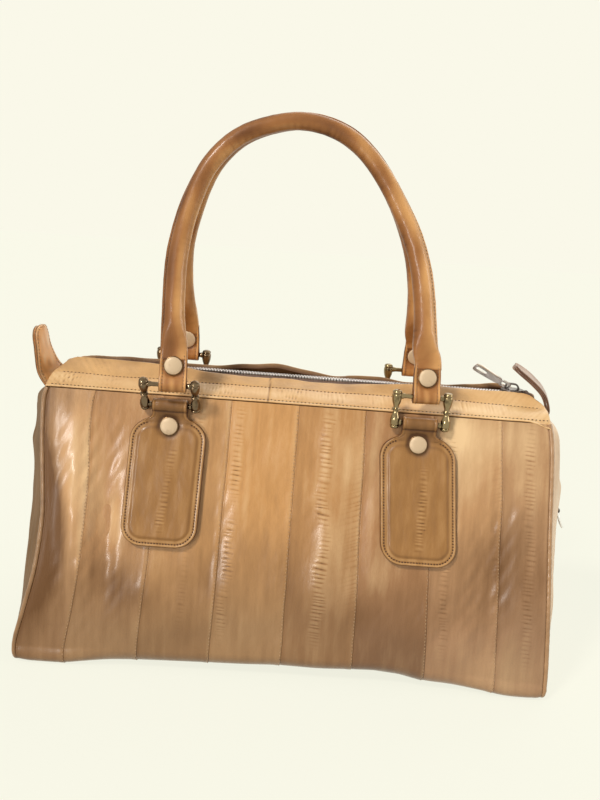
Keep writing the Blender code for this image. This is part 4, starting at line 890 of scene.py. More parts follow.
def make_base():
    """The bottom panel between the turned-under strips, a little hollow, with rolled long edges."""
    edge = BASE_HALF_WIDTH - EDGE_INSET
    breadth = BASE_HALF_DEPTH - BASE_RADIUS - TURN_UNDER - GAP
    x = np.linspace(-edge, edge, 120)[:, None]
    y = (spacing(2 * breadth, (0, 0.0002, 0.0006, 0.0012), 0.002) - breadth)[None, :]
    inward = breadth - np.abs(y)
    low = 0.0006 * rolled(inward, 0.0012) + 0.00018 * (1 + ripple(x, y, 0.06, 0.05, 81)) * ease(0, 0.01, inward)
    lift = arch_lift(x, y, 0)
    front = stack(x, y, low + lift)
    Shape().sheet(front, stack(x, y, LEATHER - 0.3 * low + lift), place=front[..., :2]).make(
        "bottom_leather", BASE_LEATHER, "bag", "strip_leather", "bottom_panel")


def make_board():
    """The stiff board on the bottom panel, bent with it."""
    low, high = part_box("base_board")
    x, y = np.linspace(low[0], high[0], 90)[:, None], np.linspace(low[1], high[1], 30)[None, :]
    under, top = (stack(x, y, height + arch_lift(x, y, low[2])) for height in (low[2], high[2]))
    Shape().sheet(under, top, place=top[..., :2]).make("board", BOARD, "bag", "stiff_board", "base_board")


def box_ring():
    """Round a box with round corners: the shares of its straight half sides and the outward angle."""
    short, long, bend = np.linspace(-1, 1, 24), np.linspace(-1, 1, 84), np.linspace(0, math.pi / 2, 9)[1:-1]
    flat, level, corner = np.ones(24), np.ones(84), np.ones(7)
    x = np.concatenate([flat, corner, -long, -corner, -flat, -corner, long, corner])
    y = np.concatenate([short, corner, level, corner, -short, -corner, -level, -corner])
    sides = (0 * flat, bend, 0 * level, bend) * 2
    angle = np.concatenate([part + order // 2 * math.pi / 2 for order, part in enumerate(sides)])
    return x, y, angle


def make_lining():
    """An open bag of cloth: rings across its floor, up outside, over the rim, down inside and across again."""
    line = wall_rows(LEATHER + GAP, SEAM_HEIGHT - 0.0018 - TAPE, 0.005)[:-2]
    line[-1, 1] = SEAM_HEIGHT - 0.0026
    depth, height = line[:, :1], line[:, 1:]
    soft = np.minimum(end_width(-1, height), half_width(height))
    length = np.minimum(soft - EDGE_INSET, 0.17305 + np.maximum(0, 0.036 - height) * 0.05) - 0.0004
    ring_x, ring_y, angle = box_ring()
    radius = 0.008
    shares = np.array([0.03, 0.2, 0.4, 0.6, 0.78, 0.9, 0.97])[:, None]

    def rings(shrink, folds, floor):
        waves = 1 + ripple(ring_x * 0.17 + ring_y * 0.06, height, 0.045, 0.12, 91)
        bend = radius - folds * ease(0.01, 0.04, height) * waves
        x = ring_x * (length - shrink - radius) + np.cos(angle) * bend
        y = ring_y * (depth - shrink - radius) + np.sin(angle) * bend
        z = np.maximum(height, floor) + 0 * x
        x, y, z = (np.vstack([rows[0] * share, rows])
                   for rows, share in ((x, shares), (y, shares), (z, shares ** 0)))
        return stack(x, y, z + arch_lift(x, y, z))
    points = np.concatenate([rings(0.0026, 0.0, 0.0), rings(0.0026 + TAPE, 0.0009, height[0] + TAPE)[::-1]])
    Shape().grid(points, place=stack(np.arange(len(angle)) * 0.003, points[..., 2])).make(
        "lining_bag", LINING_CLOTH, "bag", "lining_cloth", "lining")


# Top bands, tapes, teeth and tabs

def slope_point(side, x, up, out):
    """A place on a top band: x across the bag, up its slope from the seam and out of its face."""
    y = side * (TOP_HALF_DEPTH - up * math.cos(BAND_SLOPE) + out * math.sin(BAND_SLOPE))
    return stack(x, y, SEAM_HEIGHT + up * math.sin(BAND_SLOPE) + out * math.cos(BAND_SLOPE))


BAND_JOIN = {-1: -0.021, 1: 0.030}
BAND_ROWS = (0.0032, 0.0172)
BAND_END = 0.0004
END_DROOP = 0.0038


def band_relief(side, x, up):
    """Swell and tone of a top band: a bead at its seam, two sunk stitch rows, short creases and a join."""
    between = ease(0.0040, 0.0065, up) * ease(0.0170, 0.0145, up) + 0.35 * ease(0.0190, 0.022, up)
    depth = np.clip(0.45 + 0.7 * ripple(x, x, 0.05, 0.05, 103 + side), 0.10, 1.2)
    crease = between * ticks(up - 0.0105, x + 0.1 * up, 0.0070, 0.0026, 105 + side) * depth
    end_pull = ticks(0 * up, np.abs(x) * 0.85 - up * 0.75, 1.0, 0.0034, 117 + side)
    end_pull = end_pull * ease(0.118, 0.145, np.abs(x))
    drift = ripple(x, up, 0.030, 0.03, 101 + side)
    join = x - BAND_JOIN[side]
    out = (0.0006 * hump(up, 0.0013, 0.0010) - 0.00022 * hump(up, BAND_ROWS[0], 0.0006)
           - 0.00022 * hump(up, BAND_ROWS[1], 0.0007) + 0.00042 * crease
           + 0.00020 * end_pull * ease(0.004, 0.010, up) * (1 + 0.5 * drift)
           + 0.0009 * ripple(x, up, 0.055, 0.040, 107 + side) * ease(0.004, 0.02, up)
           - 0.00035 * hump(join, 0, 0.0006) + 0.00015 * hump(join, 0.0022, 0.0018))
    # The tone paints highlight on the bead and between the stitch rows, and shade beside the bead, along the
    # upper row and in the creases
    tone = (0.45 * hump(up, 0.0013, 0.0008) - 0.30 * hump(up, 0.0024, 0.0005) - 0.8 * hump(join, 0, 0.0005)
            + 0.9 * crease - 0.16 * hump(up, BAND_ROWS[1], 0.0007) + 0.30 * end_pull
            + 0.14 * ripple(x, up, 0.03, 0.02, 109) - 0.5 * (up < 0.0004) - 0.22 * ease(0.016, 0.020, up)
            + 0.18 * hump(up, 0.0105, 0.004) + 0.30 * ease(0.085, 0.125, x))
    return out, tone


def band_lift(side, x):
    """How far a band's free edge stands up, and how far it reaches towards the zip."""
    wavy = 0.0006 * ripple(x, x, 0.045, 0.032, 113 + side)
    if side < 0:
        lift = 0.0042 * ease(-0.050, -0.088, x) + 0.0030 * ease(0.020, 0.075, x) - 0.0006 * hump(x, -0.02, 0.04)
        return lift, wavy + 0.35 * lift
    lift = (0.0050 * hump(x, -0.022, 0.050) + 0.0012 * hump(x, 0.060, 0.03) + 0.0046 * hump(x, 0.134, 0.020)
            + 0.0046 * hump(x, -0.116, 0.028) + 0.0004 * ripple(x, x, 0.040, 0.055, 119))
    return lift, wavy - 0.0010


def make_band(side, label):
    """A top band with rolled edges: its rows are at sines of even angles, so that its round ends close."""
    share = np.sin(np.linspace(0, math.pi / 2, 52)[1:])
    share = np.concatenate([[GAP / BAND_WIDTH], np.linspace(0.012, 0.16, 14), share[share > 0.17]])[:, None]
    up = share * BAND_WIDTH
    round_end = 0.85 * END_ROUND * (1 - np.maximum(1 - share ** 3.2, 0) ** (1 / 3.2))
    left, right = (end * (end_width(end, SEAM_HEIGHT) - BAND_END - round_end) for end in (-1, 1))
    x = (left + right) / 2 + (right - left) / 2 * (spacing(2.0, (0, 0.0008, 0.002, 0.004, 0.007), 0.0064) - 1)
    out, tone = band_relief(side, x, up)
    half = np.minimum(x - left, right - x)
    free = ease(0, 0.004, half)
    out = out * (0.2 + 0.8 * free) - 0.0009 * rolled(np.minimum(BAND_WIDTH - up, half), 0.0011)
    lift, wavy = band_lift(side, x)
    out = out + lift * ease(0.58, 1.0, share) * free
    upper = ease(0.55, 1.0, share)
    rise = up + wavy * upper * free
    thick = 0.0005 + (LEATHER * 0.9 - 0.0005) * ease(0.0004, 0.0030, up)
    front = slope_point(side, x, rise, out)
    back = slope_point(side, x, rise, np.where(out > 0.001, out - 0.001, np.minimum(out, 0) * 0.6) - thick)
    droop = END_DROOP * ease(0.020, 0.0, right - x) ** 1.8 * ease(0.012, 0.0, up)
    for surface, away in ((front, 0.0005), (back, 0.0002)):
        surface[..., 1] += side * (droop * math.tan(WALL_LEAN) + away * (droop > 0) * ease(0, 0.002, droop))
        surface[..., 2] -= droop
    # back_tone darkens the bands' inner faces, and the back band's upper part is darkened too: painted shade
    Shape().sheet(front, back, tone=tone - 0.25 * upper * (side > 0),
                  edge=0.6 * np.clip(1 - (BAND_WIDTH - up) / 0.0005, 0, 1), place=stack(x, up), back_tone=-1.2,
                  mirror=side > 0).make(
        f"{label}_band_leather", BAND_LEATHER, f"{label}_mouth", "trim_leather", f"{label}_top_band")
    thread = Shape()
    for rise in BAND_ROWS:
        reach = end_width(-1, SEAM_HEIGHT) - END_ROUND * (1 - math.sqrt(1 - (rise / BAND_WIDTH) ** 2)) - 0.003
        row = np.linspace(-reach, reach, 700)
        path = slope_point(side, row, rise, band_relief(side, row, np.full(700, rise))[0] + 0.00006)
        stitches(thread, path, stack(0 * row, side * math.sin(BAND_SLOPE), math.cos(BAND_SLOPE)), "band")
    thread.make(f"{label}_band_thread", DARK_THREAD, f"{label}_mouth", "trim_leather")


def make_tape(side, label):
    """A zip tape of twill under the band, out to the teeth."""
    drop = LEATHER + GAP + TAPE / 2
    edge = (TOP_HALF_DEPTH - 0.0035 - GAP - drop * math.sin(BAND_SLOPE)) / math.cos(BAND_SLOPE)
    edge -= TAPE / 2 * math.tan(BAND_SLOPE)
    x, up = np.linspace(*CHAIN_ENDS, 420)[:, None], np.linspace(BAND_WIDTH - 0.012, edge, 14)[None, :]
    front, back = (slope_point(side, x, up, half - drop) for half in (TAPE / 2, -TAPE / 2))
    Shape().sheet(front, back, place=stack(x, up), mirror=side < 0).make(
        f"{label}_tape_cloth", ZIP_CLOTH, f"{label}_mouth", "zip_cloth", f"{label}_zip_tape")


# One zip tooth along +Y: the shares of its width, and of its length and height there, and its octagon's corners
TOOTH = np.array([(0.0, 0.30, 0.30), (0.12, 0.46, 0.46), (0.3, 0.50, 0.50), (0.55, 0.34, 0.46),
                  (0.8, 0.40, 0.44), (1.0, 0.40, 0.30)]).T[:, :, None]
OCTAGON = np.array([[1, -0.6], [1, 0.6], [0.6, 1], [-0.6, 1], [-1, 0.6], [-1, -0.6], [-0.6, -1], [0.6, -1]])


def teeth(shape, ends, side, sizes, place):
    """A row of teeth between two ends along X, on one side of the chain, moved by place(points)."""
    width, pitch, height, gap = sizes
    start, stop = ends
    centres = start + (np.arange(int((stop - start) / pitch)) + (0.3 if side < 0 else 0.8)) * pitch
    grain = stack(TOOTH[1] * pitch * 0.80 * OCTAGON[:, 0], side * (TOOTH[0] * width + gap),
                  TOOTH[2] * height * OCTAGON[:, 1])
    for centre in centres:
        shape.grid(place(grain + (centre, 0, 0)), flip=side > 0)
    return shape


def main_place(points):
    return points + (0, 0, ZIP_HEIGHT)


def make_zip_end(side, name, start):
    """The chain's fixed end: its last teeth, two strips of tape and a cloth-covered stop on the end panel."""
    stop = 0.1544
    shape, cloth_part = Shape(), Shape()
    for y_side in (-1, 1):
        teeth(shape, sorted((side * start, side * stop)), y_side, MAIN_TEETH, main_place)
        x = np.linspace(side * min(start, 0.1302), side * (stop + 0.001), 30)[:, None]
        inner = np.where(side * x < start, 0.0006, 0.0029)
        y = y_side * (inner + (0.0068 - inner) * np.linspace(0, 1, 5))
        front = stack(x, y, ZIP_HEIGHT + TAPE / 2)
        cloth_part.sheet(front, front - (0, 0, TAPE), place=front[..., :2], mirror=side * y_side < 0)
    shape.make(f"{name}_teeth", ZIP_METAL, "bag", "zip_metal", name)
    outline = superellipse(turns(40), 0.35)
    share, rise = np.array([[0.80, 0.0], [0.97, 0.0002], [1.0, 0.0010], [1.0, 0.0065], [0.97, 0.0072],
                            [0.80, 0.0075]]).T[:, :, None]
    points = stack(side * (stop + 0.0011) + share * 0.0011 * outline[:, 0], share * 0.0070 * outline[:, 1],
                   0.18955 + rise)
    cloth_part.grid(points, place=points[..., 1:]).make(f"{name}_cloth", ZIP_CLOTH, "bag", "zip_cloth")


TAB_REACH = 0.0380
TAB_HALF_WIDTH = 0.012
TAB_BASE = SEAM_HEIGHT - 0.004
TAB_SPLIT = 0.00012
# Each tab's turn about its length at its root and tip, in degrees, its half thickness and how far its edges cup
TAB_TWIST = {"left": (30, 6, 0.0014, 0.0022), "right": (-14, -6, 0.0017, 0.0008)}
# Each tab's line in shares of its reach: out from the end panel and up
TAB_LINES = {"right": (1, ((0, 0), (0.085, 0.158), (-0.030, 0.434), (-0.265, 0.658), (-0.600, 0.882))),
             "left": (-1, ((0, 0), (0.180, 0.220), (0.262, 0.500), (0.300, 0.790), (0.315, 1.0)))}


def make_tab(label):
    """A leather tab: two layers along a twisting curve, with a round tip, dark edges and a stitched border."""
    side, shares = TAB_LINES[label]
    root, tip, thick, cup = TAB_TWIST[label]
    base = float(gusset_reach(np.array(TAB_BASE))) + 2 * GAP + 0.0019
    line = smooth_path([(side * (base + out * TAB_REACH), 0, TAB_BASE + up * TAB_REACH)
                        for out, up in shares], 22)
    along = unit(np.gradient(line, axis=0))
    share = np.linspace(0, 1, len(line))
    turn = np.radians(root + (tip - root) * ease(0.0, 0.7, share))[:, None]
    flat, level = stack(side * along[:, 2], 0, -side * along[:, 0]), np.array((0, 1.0, 0))
    normal, across_way = flat * np.cos(turn) + level * np.sin(turn), level * np.cos(turn) - flat * np.sin(turn)
    half = TAB_HALF_WIDTH * np.sqrt(np.clip(1 - np.maximum(0, (share - 0.66) / 0.355) ** 2.4, 0.03, 1))
    across = spacing(2.0, (0, 0.03, 0.07, 0.12, 0.18), 0.09) - 1
    y, at = half[:, None] * across, share[:, None]
    bend = cup * across ** 2 * ease(0.15, 1.0, at)
    near = np.minimum(half[:, None] - np.abs(y), (1 - at) * TAB_REACH + 0.0004)
    fall = 0.4 * thick * rolled(near, 0.0008)
    groove = 0.00025 * hump(near, 0.0022, 0.0005) * ease(0.05, 0.12, at)
    middle = line[:, None] + across_way[:, None] * y[..., None] + normal[:, None] * bend[..., None]
    # Rubbed leather with painted light: painted highlight on the rolled rim and painted shade in the stitch
    # groove
    wear_and_painted_light = (0.35 * ripple(y, at * TAB_REACH, 0.006, 0.012, 131 + side) + 0.7 * hump(near, 0.0012, 0.0005)
            - 0.4 * hump(near, 0.0022, 0.0006))
    layers, thread = Shape(), Shape()
    for layer in (-1, 1):
        outer, inner = layer * (thick - fall - groove), layer * (TAB_SPLIT + fall)
        front, back = (middle + normal[:, None] * height[..., None] for height in (outer, inner)[::layer])
        layers.sheet(front, back, tone=wear_and_painted_light, back_tone=wear_and_painted_light, edge=np.clip(1 - near / 0.0006, 0, 1),
                     place=stack(y, at * TAB_REACH), mirror=side < 0)
    layers.make(f"{label}_tab_leather", TAB_LEATHERS_LIT_AND_SHADED[label], "bag", "trim_leather", f"{label}_zip_tab")
    rising = np.arange(10, len(line))
    picked = np.concatenate([rising, rising[::-1]])
    inset = half[picked] - 0.0022
    row_y = np.repeat((-1.0, 1.0), len(rising)) * inset
    picked, row_y = picked[inset > 0.0006], row_y[inset > 0.0006]
    lift = 0.0022 * (row_y / half[picked]) ** 2 * ease(0.15, 1.0, share[picked])
    for face in (1, -1)[side > 0:]:
        path = (line[picked] + across_way[picked] * row_y[:, None]
                + normal[picked] * (lift + face * (thick - 0.00005))[:, None])
        stitches(thread, path, normal[picked] * face, "tab")
    thread.make(f"{label}_tab_thread", PALE_THREAD, "bag", "trim_leather")


# Sliders and pulls

def plate_rings(outline, levels):
    """A closed plate: its outline, shrunk and raised at each level of share and height."""
    share, height = np.array(levels).T[:, :, None]
    centre = outline.mean(axis=0)
    return stack(*(centre[axis] + (outline[:, axis] - centre[axis]) * share for axis in (0, 1)), height)


# A slider's plates: the share of their outline and the share of their thickness at each level
DOME = ((0.90, 0), (0.98, 0.15), (1.0, 0.5), (0.97, 0.85), (0.90, 1), (0.72, 1.12), (0.45, 1.25), (0.15, 1.3))
UNDER_PLATE = ((0.90, -1), (0.98, -0.85), (1.0, -0.5), (0.98, -0.15), (0.90, 0))
PLATE = 0.0011
BRIDGE_HEIGHT = 0.0040
BRIDGE_SECTION = np.array([[1, -0.7], [1, 0.7], [0.6, 1], [-0.6, 1], [-1, 0.7], [-1, -0.7], [-0.6, -1],
                           [0.6, -1]])


def make_slider(name, turn, centre, length, half, chain_height):
    """A slider along its own X: a domed heart-shaped plate, a lower plate, side lips, a web and a bridge."""
    shape = Shape()
    top, bottom, reach = chain_height / 2 + 0.0004, -chain_height / 2 - 0.0008, length / 2
    cosine, sine = np.cos(turns(56)), np.sin(turns(56))
    outline = stack(reach * np.sign(cosine) * np.abs(cosine) ** 0.8,
                    half * sine * (0.94 + 0.06 * cosine) * (1 - 0.22 * np.clip(-cosine, 0, 1) ** 2))
    for start, levels in ((top, DOME), (bottom, UNDER_PLATE)):
        shape.grid(plate_rings(outline, [(share, start + rise * PLATE) for share, rise in levels]))
    share = np.linspace(-0.86, 0.86, 24)
    for y_side in (-1, 1):
        rail = stack(share * reach, y_side * (half * (1 - 0.10 * share ** 2) - 0.0007), top - 0.0003)
        tube(shape, rail, 0.0007, sides=8, across=(0, 0, 1))
    shape.grid(plate_rings(stack(reach * (0.62 + 0.30 * cosine), 0.00035 * sine),
                           [(1.0, bottom - 0.0003), (1.0, top + 0.0003)]))
    back, front, outer = -reach * 0.68, reach * 0.5, top + PLATE
    crest = outer + BRIDGE_HEIGHT
    route = smooth_path([(back + 0.0008, 0, outer - 0.0003), (back + 0.0006, 0, outer + BRIDGE_HEIGHT * 0.5),
                         (back + 0.0020, 0, crest - 0.0006), (-reach * 0.05, 0, crest - 0.0004),
                         (front - 0.0018, 0, crest - 0.0008), (front - 0.0004, 0, outer + BRIDGE_HEIGHT * 0.45),
                         (front + 0.0003, 0, outer - 0.0003)], 8)
    out = np.cross(unit(np.gradient(route, axis=0)), (0, 1, 0))
    width = 0.0013 * (1 - 0.12 * np.abs(np.linspace(-1, 1, len(route))))[:, None, None]
    strip = (route[:, None] + out[:, None] * BRIDGE_SECTION[:, :1] * 0.00058
             + np.array([0, 1, 0]) * BRIDGE_SECTION[:, 1:] * width)
    shape.grid(strip, flip=True).move(turn, centre).make(f"{name}_body", SLIDER_METAL, name, "zip_metal", name)


# A flat ring's rounded section: share of the way from its inner to its outer outline, and of its half thickness
RING_SECTION = np.array(((0.0, 0.62), (0.10, 0.88), (0.30, 1.0), (0.70, 1.0), (0.90, 0.88), (1.0, 0.62)))


def slot_plate(shape, outer, inner, thickness):
    """A flat ring between two outlines of as many points, with every edge rounded: a tube of rounded section."""
    share, height = np.vstack([RING_SECTION, RING_SECTION[::-1] * (1, -1)]).T
    ring = inner[:, None] * (1 - share)[:, None] + outer[:, None] * share[:, None]
    shape.grid(stack(ring[..., 0], ring[..., 1], height * thickness / 2), ring=True, flip=True)


def box_outline(x_low, x_high, half_low, half_high, power):
    """An outline around a box whose half width changes along it: a superellipse of even angles."""
    x, y = superellipse(turns(64), power).T
    share = (x + 1) / 2
    return stack(x_low + (x_high - x_low) * share, y * (half_low + (half_high - half_low) * share))


def make_pull(name, pivot, axes, length, width):
    """A pull: a narrow loop round the bridge that widens into a long plate with an open slot at its tip."""
    thickness, root, neck = 0.0014, 0.0017, 0.0032
    shape = Shape()
    slot_plate(shape, box_outline(-thickness / 2, 0.0068, neck, neck * 1.02, 0.35),
               box_outline(thickness / 2, 0.0060, root, root, 0.4), thickness)
    slot_plate(shape, box_outline(0.0058, length, neck, width / 2, 0.42),
               box_outline(length - 0.0025 - 0.0072 * length / 0.027, length - 0.0021, 0.0011, 0.0014, 0.5),
               thickness)
    shape.move(axes, pivot).make(f"{name}_plate", PULL_METAL, name, "zip_metal", name)


# Links, patches and rivets

def wall_axes(side):
    """Rows: across, up the slope and out of the flat upper wall."""
    return np.array([[-side, 0, 0], [0, -side * math.sin(WALL_LEAN), math.cos(WALL_LEAN)],
                     [0, side * math.cos(WALL_LEAN), math.sin(WALL_LEAN)]])


def link_centre(side, x, standoff=LINK_STANDOFF):
    return np.array([x, side * (slope_half_depth(LINK_AXIS_HEIGHT) + standoff), LINK_AXIS_HEIGHT])


# Radius and height of a link's post, from the middle of its ring to the tip of its ball, in millimetres
POST_PROFILE = ((1.75, 0.0), (2.55, 0.05), (2.75, 0.35), (2.55, 0.70), (1.95, 0.85), (1.72, 1.10), (1.78, 1.8),
                (2.05, 2.9), (2.55, 4.2), (2.95, 5.6), (3.15, 6.8), (3.25, 8.2), (3.24, 9.0), (3.16, 9.9),
                (2.9, 10.25), (2.62, 10.35), (2.62, 10.60), (2.95, 10.72), (3.05, 11.05), (3.02, 11.6),
                (2.75, 12.2), (2.25, 12.65), (1.45, 12.92), (0.5, 13.0))


def make_link(label, side, x, tilt):
    """Two turned posts, each of two teardrops that meet at a ring, and two bars through them."""
    upper = rounded_profile(POST_PROFILE)
    post = turned_grid(np.vstack([upper[::-1], upper[1:] * (1, -1)])[::-1], 36)
    turn = np.array([[1, 0, 0], [0, math.cos(tilt), -side * math.sin(tilt)],
                     [0, side * math.sin(tilt), math.cos(tilt)]])
    shape, centre = Shape(), link_centre(side, x)
    for reach in (-POST_SPACING / 2, POST_SPACING / 2):
        shape.grid((post + (reach, 0, BAR_SPACING / 2)) @ turn + centre)
    line = np.linspace(-POST_SPACING / 2, POST_SPACING / 2, 40)
    for height in (0, BAR_SPACING):
        radius = 0.0015 + 0.0005 * hump(np.abs(line), 0.0132, 0.0012)
        tube(shape, stack(line, 0, height) @ turn + centre, radius, sides=16, across=(0, 0, 1))
    shape.make(
        f"{label}_link_metal", LINK_METALS["left" if x < 0 else "right"], f"{label}_link", "aged_metal",
        f"{label}_link", sharp=34)


PATCH_HALF_WIDTH = 0.025
PATCH_LENGTH = 0.0945
PATCH_SHOULDER = 0.0105
PATCH_CORNER = 0.014
PATCH_INSET = 0.0024
NECK_HALF_WIDTH = 0.0115
PATCH_FACE = 0.0038
PATCH_TURN = -0.013


def patch_room(x, y):
    """Distance inside the outline: of a round-cornered tongue or of its neck, whichever is more, blended."""
    middle, half = -(PATCH_LENGTH + PATCH_SHOULDER) / 2, (PATCH_LENGTH - PATCH_SHOULDER) / 2
    away_x, away_y = np.abs(x) - PATCH_HALF_WIDTH + PATCH_CORNER, np.abs(y - middle) - half + PATCH_CORNER
    outside = np.hypot(np.maximum(away_x, 0), np.maximum(away_y, 0))
    tongue = PATCH_CORNER - outside - np.minimum(np.maximum(away_x, away_y), 0)
    neck = np.where(y > middle, NECK_HALF_WIDTH - np.abs(x), -1.0)
    blend = 0.004
    join = np.maximum(0, blend - np.abs(tongue - neck)) / blend
    return np.maximum(tongue, neck) + join ** 2 * blend / 4 * (y > middle)


def patch_half_width(y):
    """Half width at each height: the outline is found by halving the search range."""
    low, high = np.zeros(y.shape), np.full(y.shape, PATCH_HALF_WIDTH + 0.002)
    for _ in range(26):
        middle = (low + high) / 2
        inside = patch_room(middle, y) > 0
        low, high = np.where(inside, middle, low), np.where(inside, high, middle)
    return low


def loop_line(start, radius, end):
    """A face of the neck: up to the bar, round it by cosine and sine, and down behind: heights and standoffs."""
    angle = np.radians(np.linspace(-35, 150, 12))
    arc = stack(radius * np.sin(angle) - 0.00128, radius * np.cos(angle) + 0.00514)
    return smooth_path([*start, *arc, *end], 4)


def patch_relief(seed, across, up, room, run, folded):
    """Swell and tone of a patch: rolled rim, stitch groove, puffed middle, dent round the rivet, creases."""
    body = 1 - ease(-0.020, -0.009, up)
    away = np.hypot(across, up + CAP_DROP)
    slant = across - 0.0055 - (up + CAP_DROP) * 0.080
    marks = ticks(slant, up, 0.0024, 0.0024, seed + 2, slant=0.05)
    band = ease(-0.088, -0.078, up) * ease(-0.026, -0.034, up) * ease(0.004, 0.007, room)
    grain = (0.00014 * ripple(across, up, 0.012, 0.030, seed)
             + 0.00004 * ripple(across, up, 0.004, 0.010, seed + 1)) * ease(0.001, 0.005, room)
    puff = 0.0008 * ease(0.0044, 0.0066, room) * body * ease(0.006, 0.020, away)
    out = (puff + grain - 0.0012 * rolled(room, 0.0011) + 0.00018 * hump(room, 0.0011, 0.0006)
           - 0.00022 * hump(room, 0.0024, 0.0006) - 0.0006 * hump(away, 0.0066, 0.0022)
           + (0.00030 * marks + 0.00022 * hump(slant, 0, 0.004)) * band
           - 0.0004 * folded * hump(run, -0.0045, 0.0007))
    # The tone paints highlight on the rolled rim and shade in the dent round the rivet, on the neck, at its fold
    # and in the creases
    tone = (0.55 * hump(room, 0.0013, 0.0007)
            + (0.35 * hump(room, 0.0040, 0.0010) - 0.30 * hump(room, 0.0058, 0.0010)) * body
            + 1.3 * marks * band + 0.10 * ripple(across, up, 0.008, 0.03, seed + 3) - 0.45 * (1 - body)
            - 0.6 * hump(away, 0.0068, 0.0015) - 0.8 * folded * hump(run, -0.0045, 0.0009))
    return out, tone


def make_patch(label, side, x, lean, seed):
    """A tongue of leather with a padded middle, whose neck runs over the bar and down behind itself.

    Its rows follow two lines, of the outer and the inner face, from its lower edge to the end of the tuck.
    """
    bottom, inside = -PATCH_LENGTH, GAP + 0.0002
    heights = np.concatenate([bottom + PATCH_CORNER * (1 - np.cos(np.linspace(0.0, math.pi / 2, 24))),
                              np.linspace(bottom + PATCH_CORNER, PATCH_TURN, 112)[1:]])
    outer_loop = loop_line([(-0.0132, PATCH_FACE), (-0.0095, 0.0044), (-0.0064, 0.0063)], 0.0042,
                           [(-0.0060, 0.00045), (-0.0110, GAP)])
    inner_loop = loop_line([(-0.0132, inside), (-0.0100, 0.0026), (-0.0062, 0.0042)], 0.00245,
                           [(-0.0060, 0.0019), (-0.0110, 0.0018)])
    outer = np.vstack([stack(heights, PATCH_FACE), outer_loop[1:]])
    inner = np.vstack([stack(heights, inside), inner_loop[1:]])
    folded = (np.arange(len(outer)) >= len(heights))[:, None]
    run = path_length((outer + inner) / 2)[:, None] + bottom
    up = np.where(folded, np.minimum(run, -0.0005), outer[:, :1])
    half = patch_half_width(up)
    across = half * (spacing(2.0, (0, 0.008, 0.02, 0.038, 0.06, 0.09, 0.12), 0.028) - 1)
    up = np.broadcast_to(up, across.shape)
    room = np.where(folded, half - np.abs(across), np.maximum(patch_room(across, up), 0))
    out, tone = patch_relief(seed, across, up, room, run, folded)
    direction = unit(np.gradient(outer, axis=0))
    normal = stack(-direction[:, 1], direction[:, 0])
    normal = np.where((normal[:, 1:] < 0) & ~folded, -normal, normal)
    face = outer[:, None] + normal[:, None] * out[..., None]
    rear = inner[:, None] + normal[:, None] * (-0.3 * np.minimum(out, 0))[..., None]
    axes, origin = wall_axes(side), link_centre(side, x, 0)
    shift = math.tan(lean) * np.minimum(up + CAP_DROP, 0)
    front, back = (stack(across - shift, line[..., 0], line[..., 1]) @ axes + origin for line in (face, rear))
    Shape().sheet(front, back, tone=tone, edge=np.clip(1 - room / 0.00075, 0, 1), place=stack(across, run)).make(
        f"{label}_patch_leather", PATCH_LEATHER, "bag", "trim_leather", f"{label}_patch")
    corner = np.linspace(0, math.pi / 2, 40)
    radius, reach = PATCH_CORNER - PATCH_INSET, PATCH_HALF_WIDTH - PATCH_INSET
    shoulder = -PATCH_SHOULDER - PATCH_CORNER
    right = np.vstack([
        stack(reach - radius + radius * np.sin(corner), bottom + PATCH_INSET + radius * (1 - np.cos(corner))),
        stack(reach, np.linspace(bottom + PATCH_CORNER, shoulder, 60))[1:],
        stack(reach - radius * (1 - np.cos(corner)), shoulder + radius * np.sin(corner))[1:34]])
    row_x, row_y = np.vstack([right[::-1], right * (-1, 1)]).T
    row_x = row_x - math.tan(lean) * np.minimum(row_y + CAP_DROP, 0)
    path = stack(row_x, row_y, PATCH_FACE - 0.00006) @ axes + origin
    thread = Shape()
    stitches(thread, path, np.broadcast_to(axes[2], path.shape), "patch")
    thread.make(f"{label}_patch_thread", DARK_THREAD, "bag", "trim_leather")


# Radius and height of a rivet's outer cap and of the plain cap inside, in millimetres
CROWN = ((5.65, 0.0), (5.7, 0.35), (5.55, 0.75), (5.25, 1.05), (4.95, 1.14), (4.7, 1.24), (4.3, 1.42),
         (3.4, 1.60), (2.2, 1.72), (1.0, 1.78), (0.2, 1.79))
INNER_CROWN = ((6.2, 0.0), (6.2, 0.5), (5.6, 0.9), (3.5, 1.2), (0.2, 1.4))
RIM_RADIUS = 0.0057
RIM_HALF = 0.00048


def make_cap(label, name, axes, seat, height, inner, body):
    """A rivet: a pearly dome with a step and a dark rim on a shank, and an inner head. The rim's dark colour is
    painted shade round the dome.
    """
    points = turned_grid(rounded_profile(CROWN) + (0, height), 56) @ axes + seat
    Shape().grid(points).make(f"{label}_{name}_cap", CAP_METAL, body, "cap_metal", f"{label}_{name}")
    angle = turns(72)
    out = stack(np.cos(angle), np.sin(angle), 0)
    section = stack(np.cos(angle[::9]), np.sin(angle[::9])) * RIM_HALF
    up = np.array([0, 0, 1])
    points = (RIM_RADIUS + section[:, :1]) * out[:, None] + up * (height + 0.0002 + section[:, 1:])
    top = height * 1000 + 0.4
    shank = rounded_profile(((0.2, inner - 1.0), (4.6, inner - 1.0), (5.0, inner - 0.7), (5.0, inner),
                             (1.55, inner + 0.05), (1.55, top), (0.2, top)), 2)
    Shape().grid(points @ axes + seat, ring=True).grid(turned_grid(shank, 40) @ axes + seat).make(
        f"{label}_{name}_rim", CAP_RIM_PAINTED_SHADE, body, "cap_metal")


# Handles

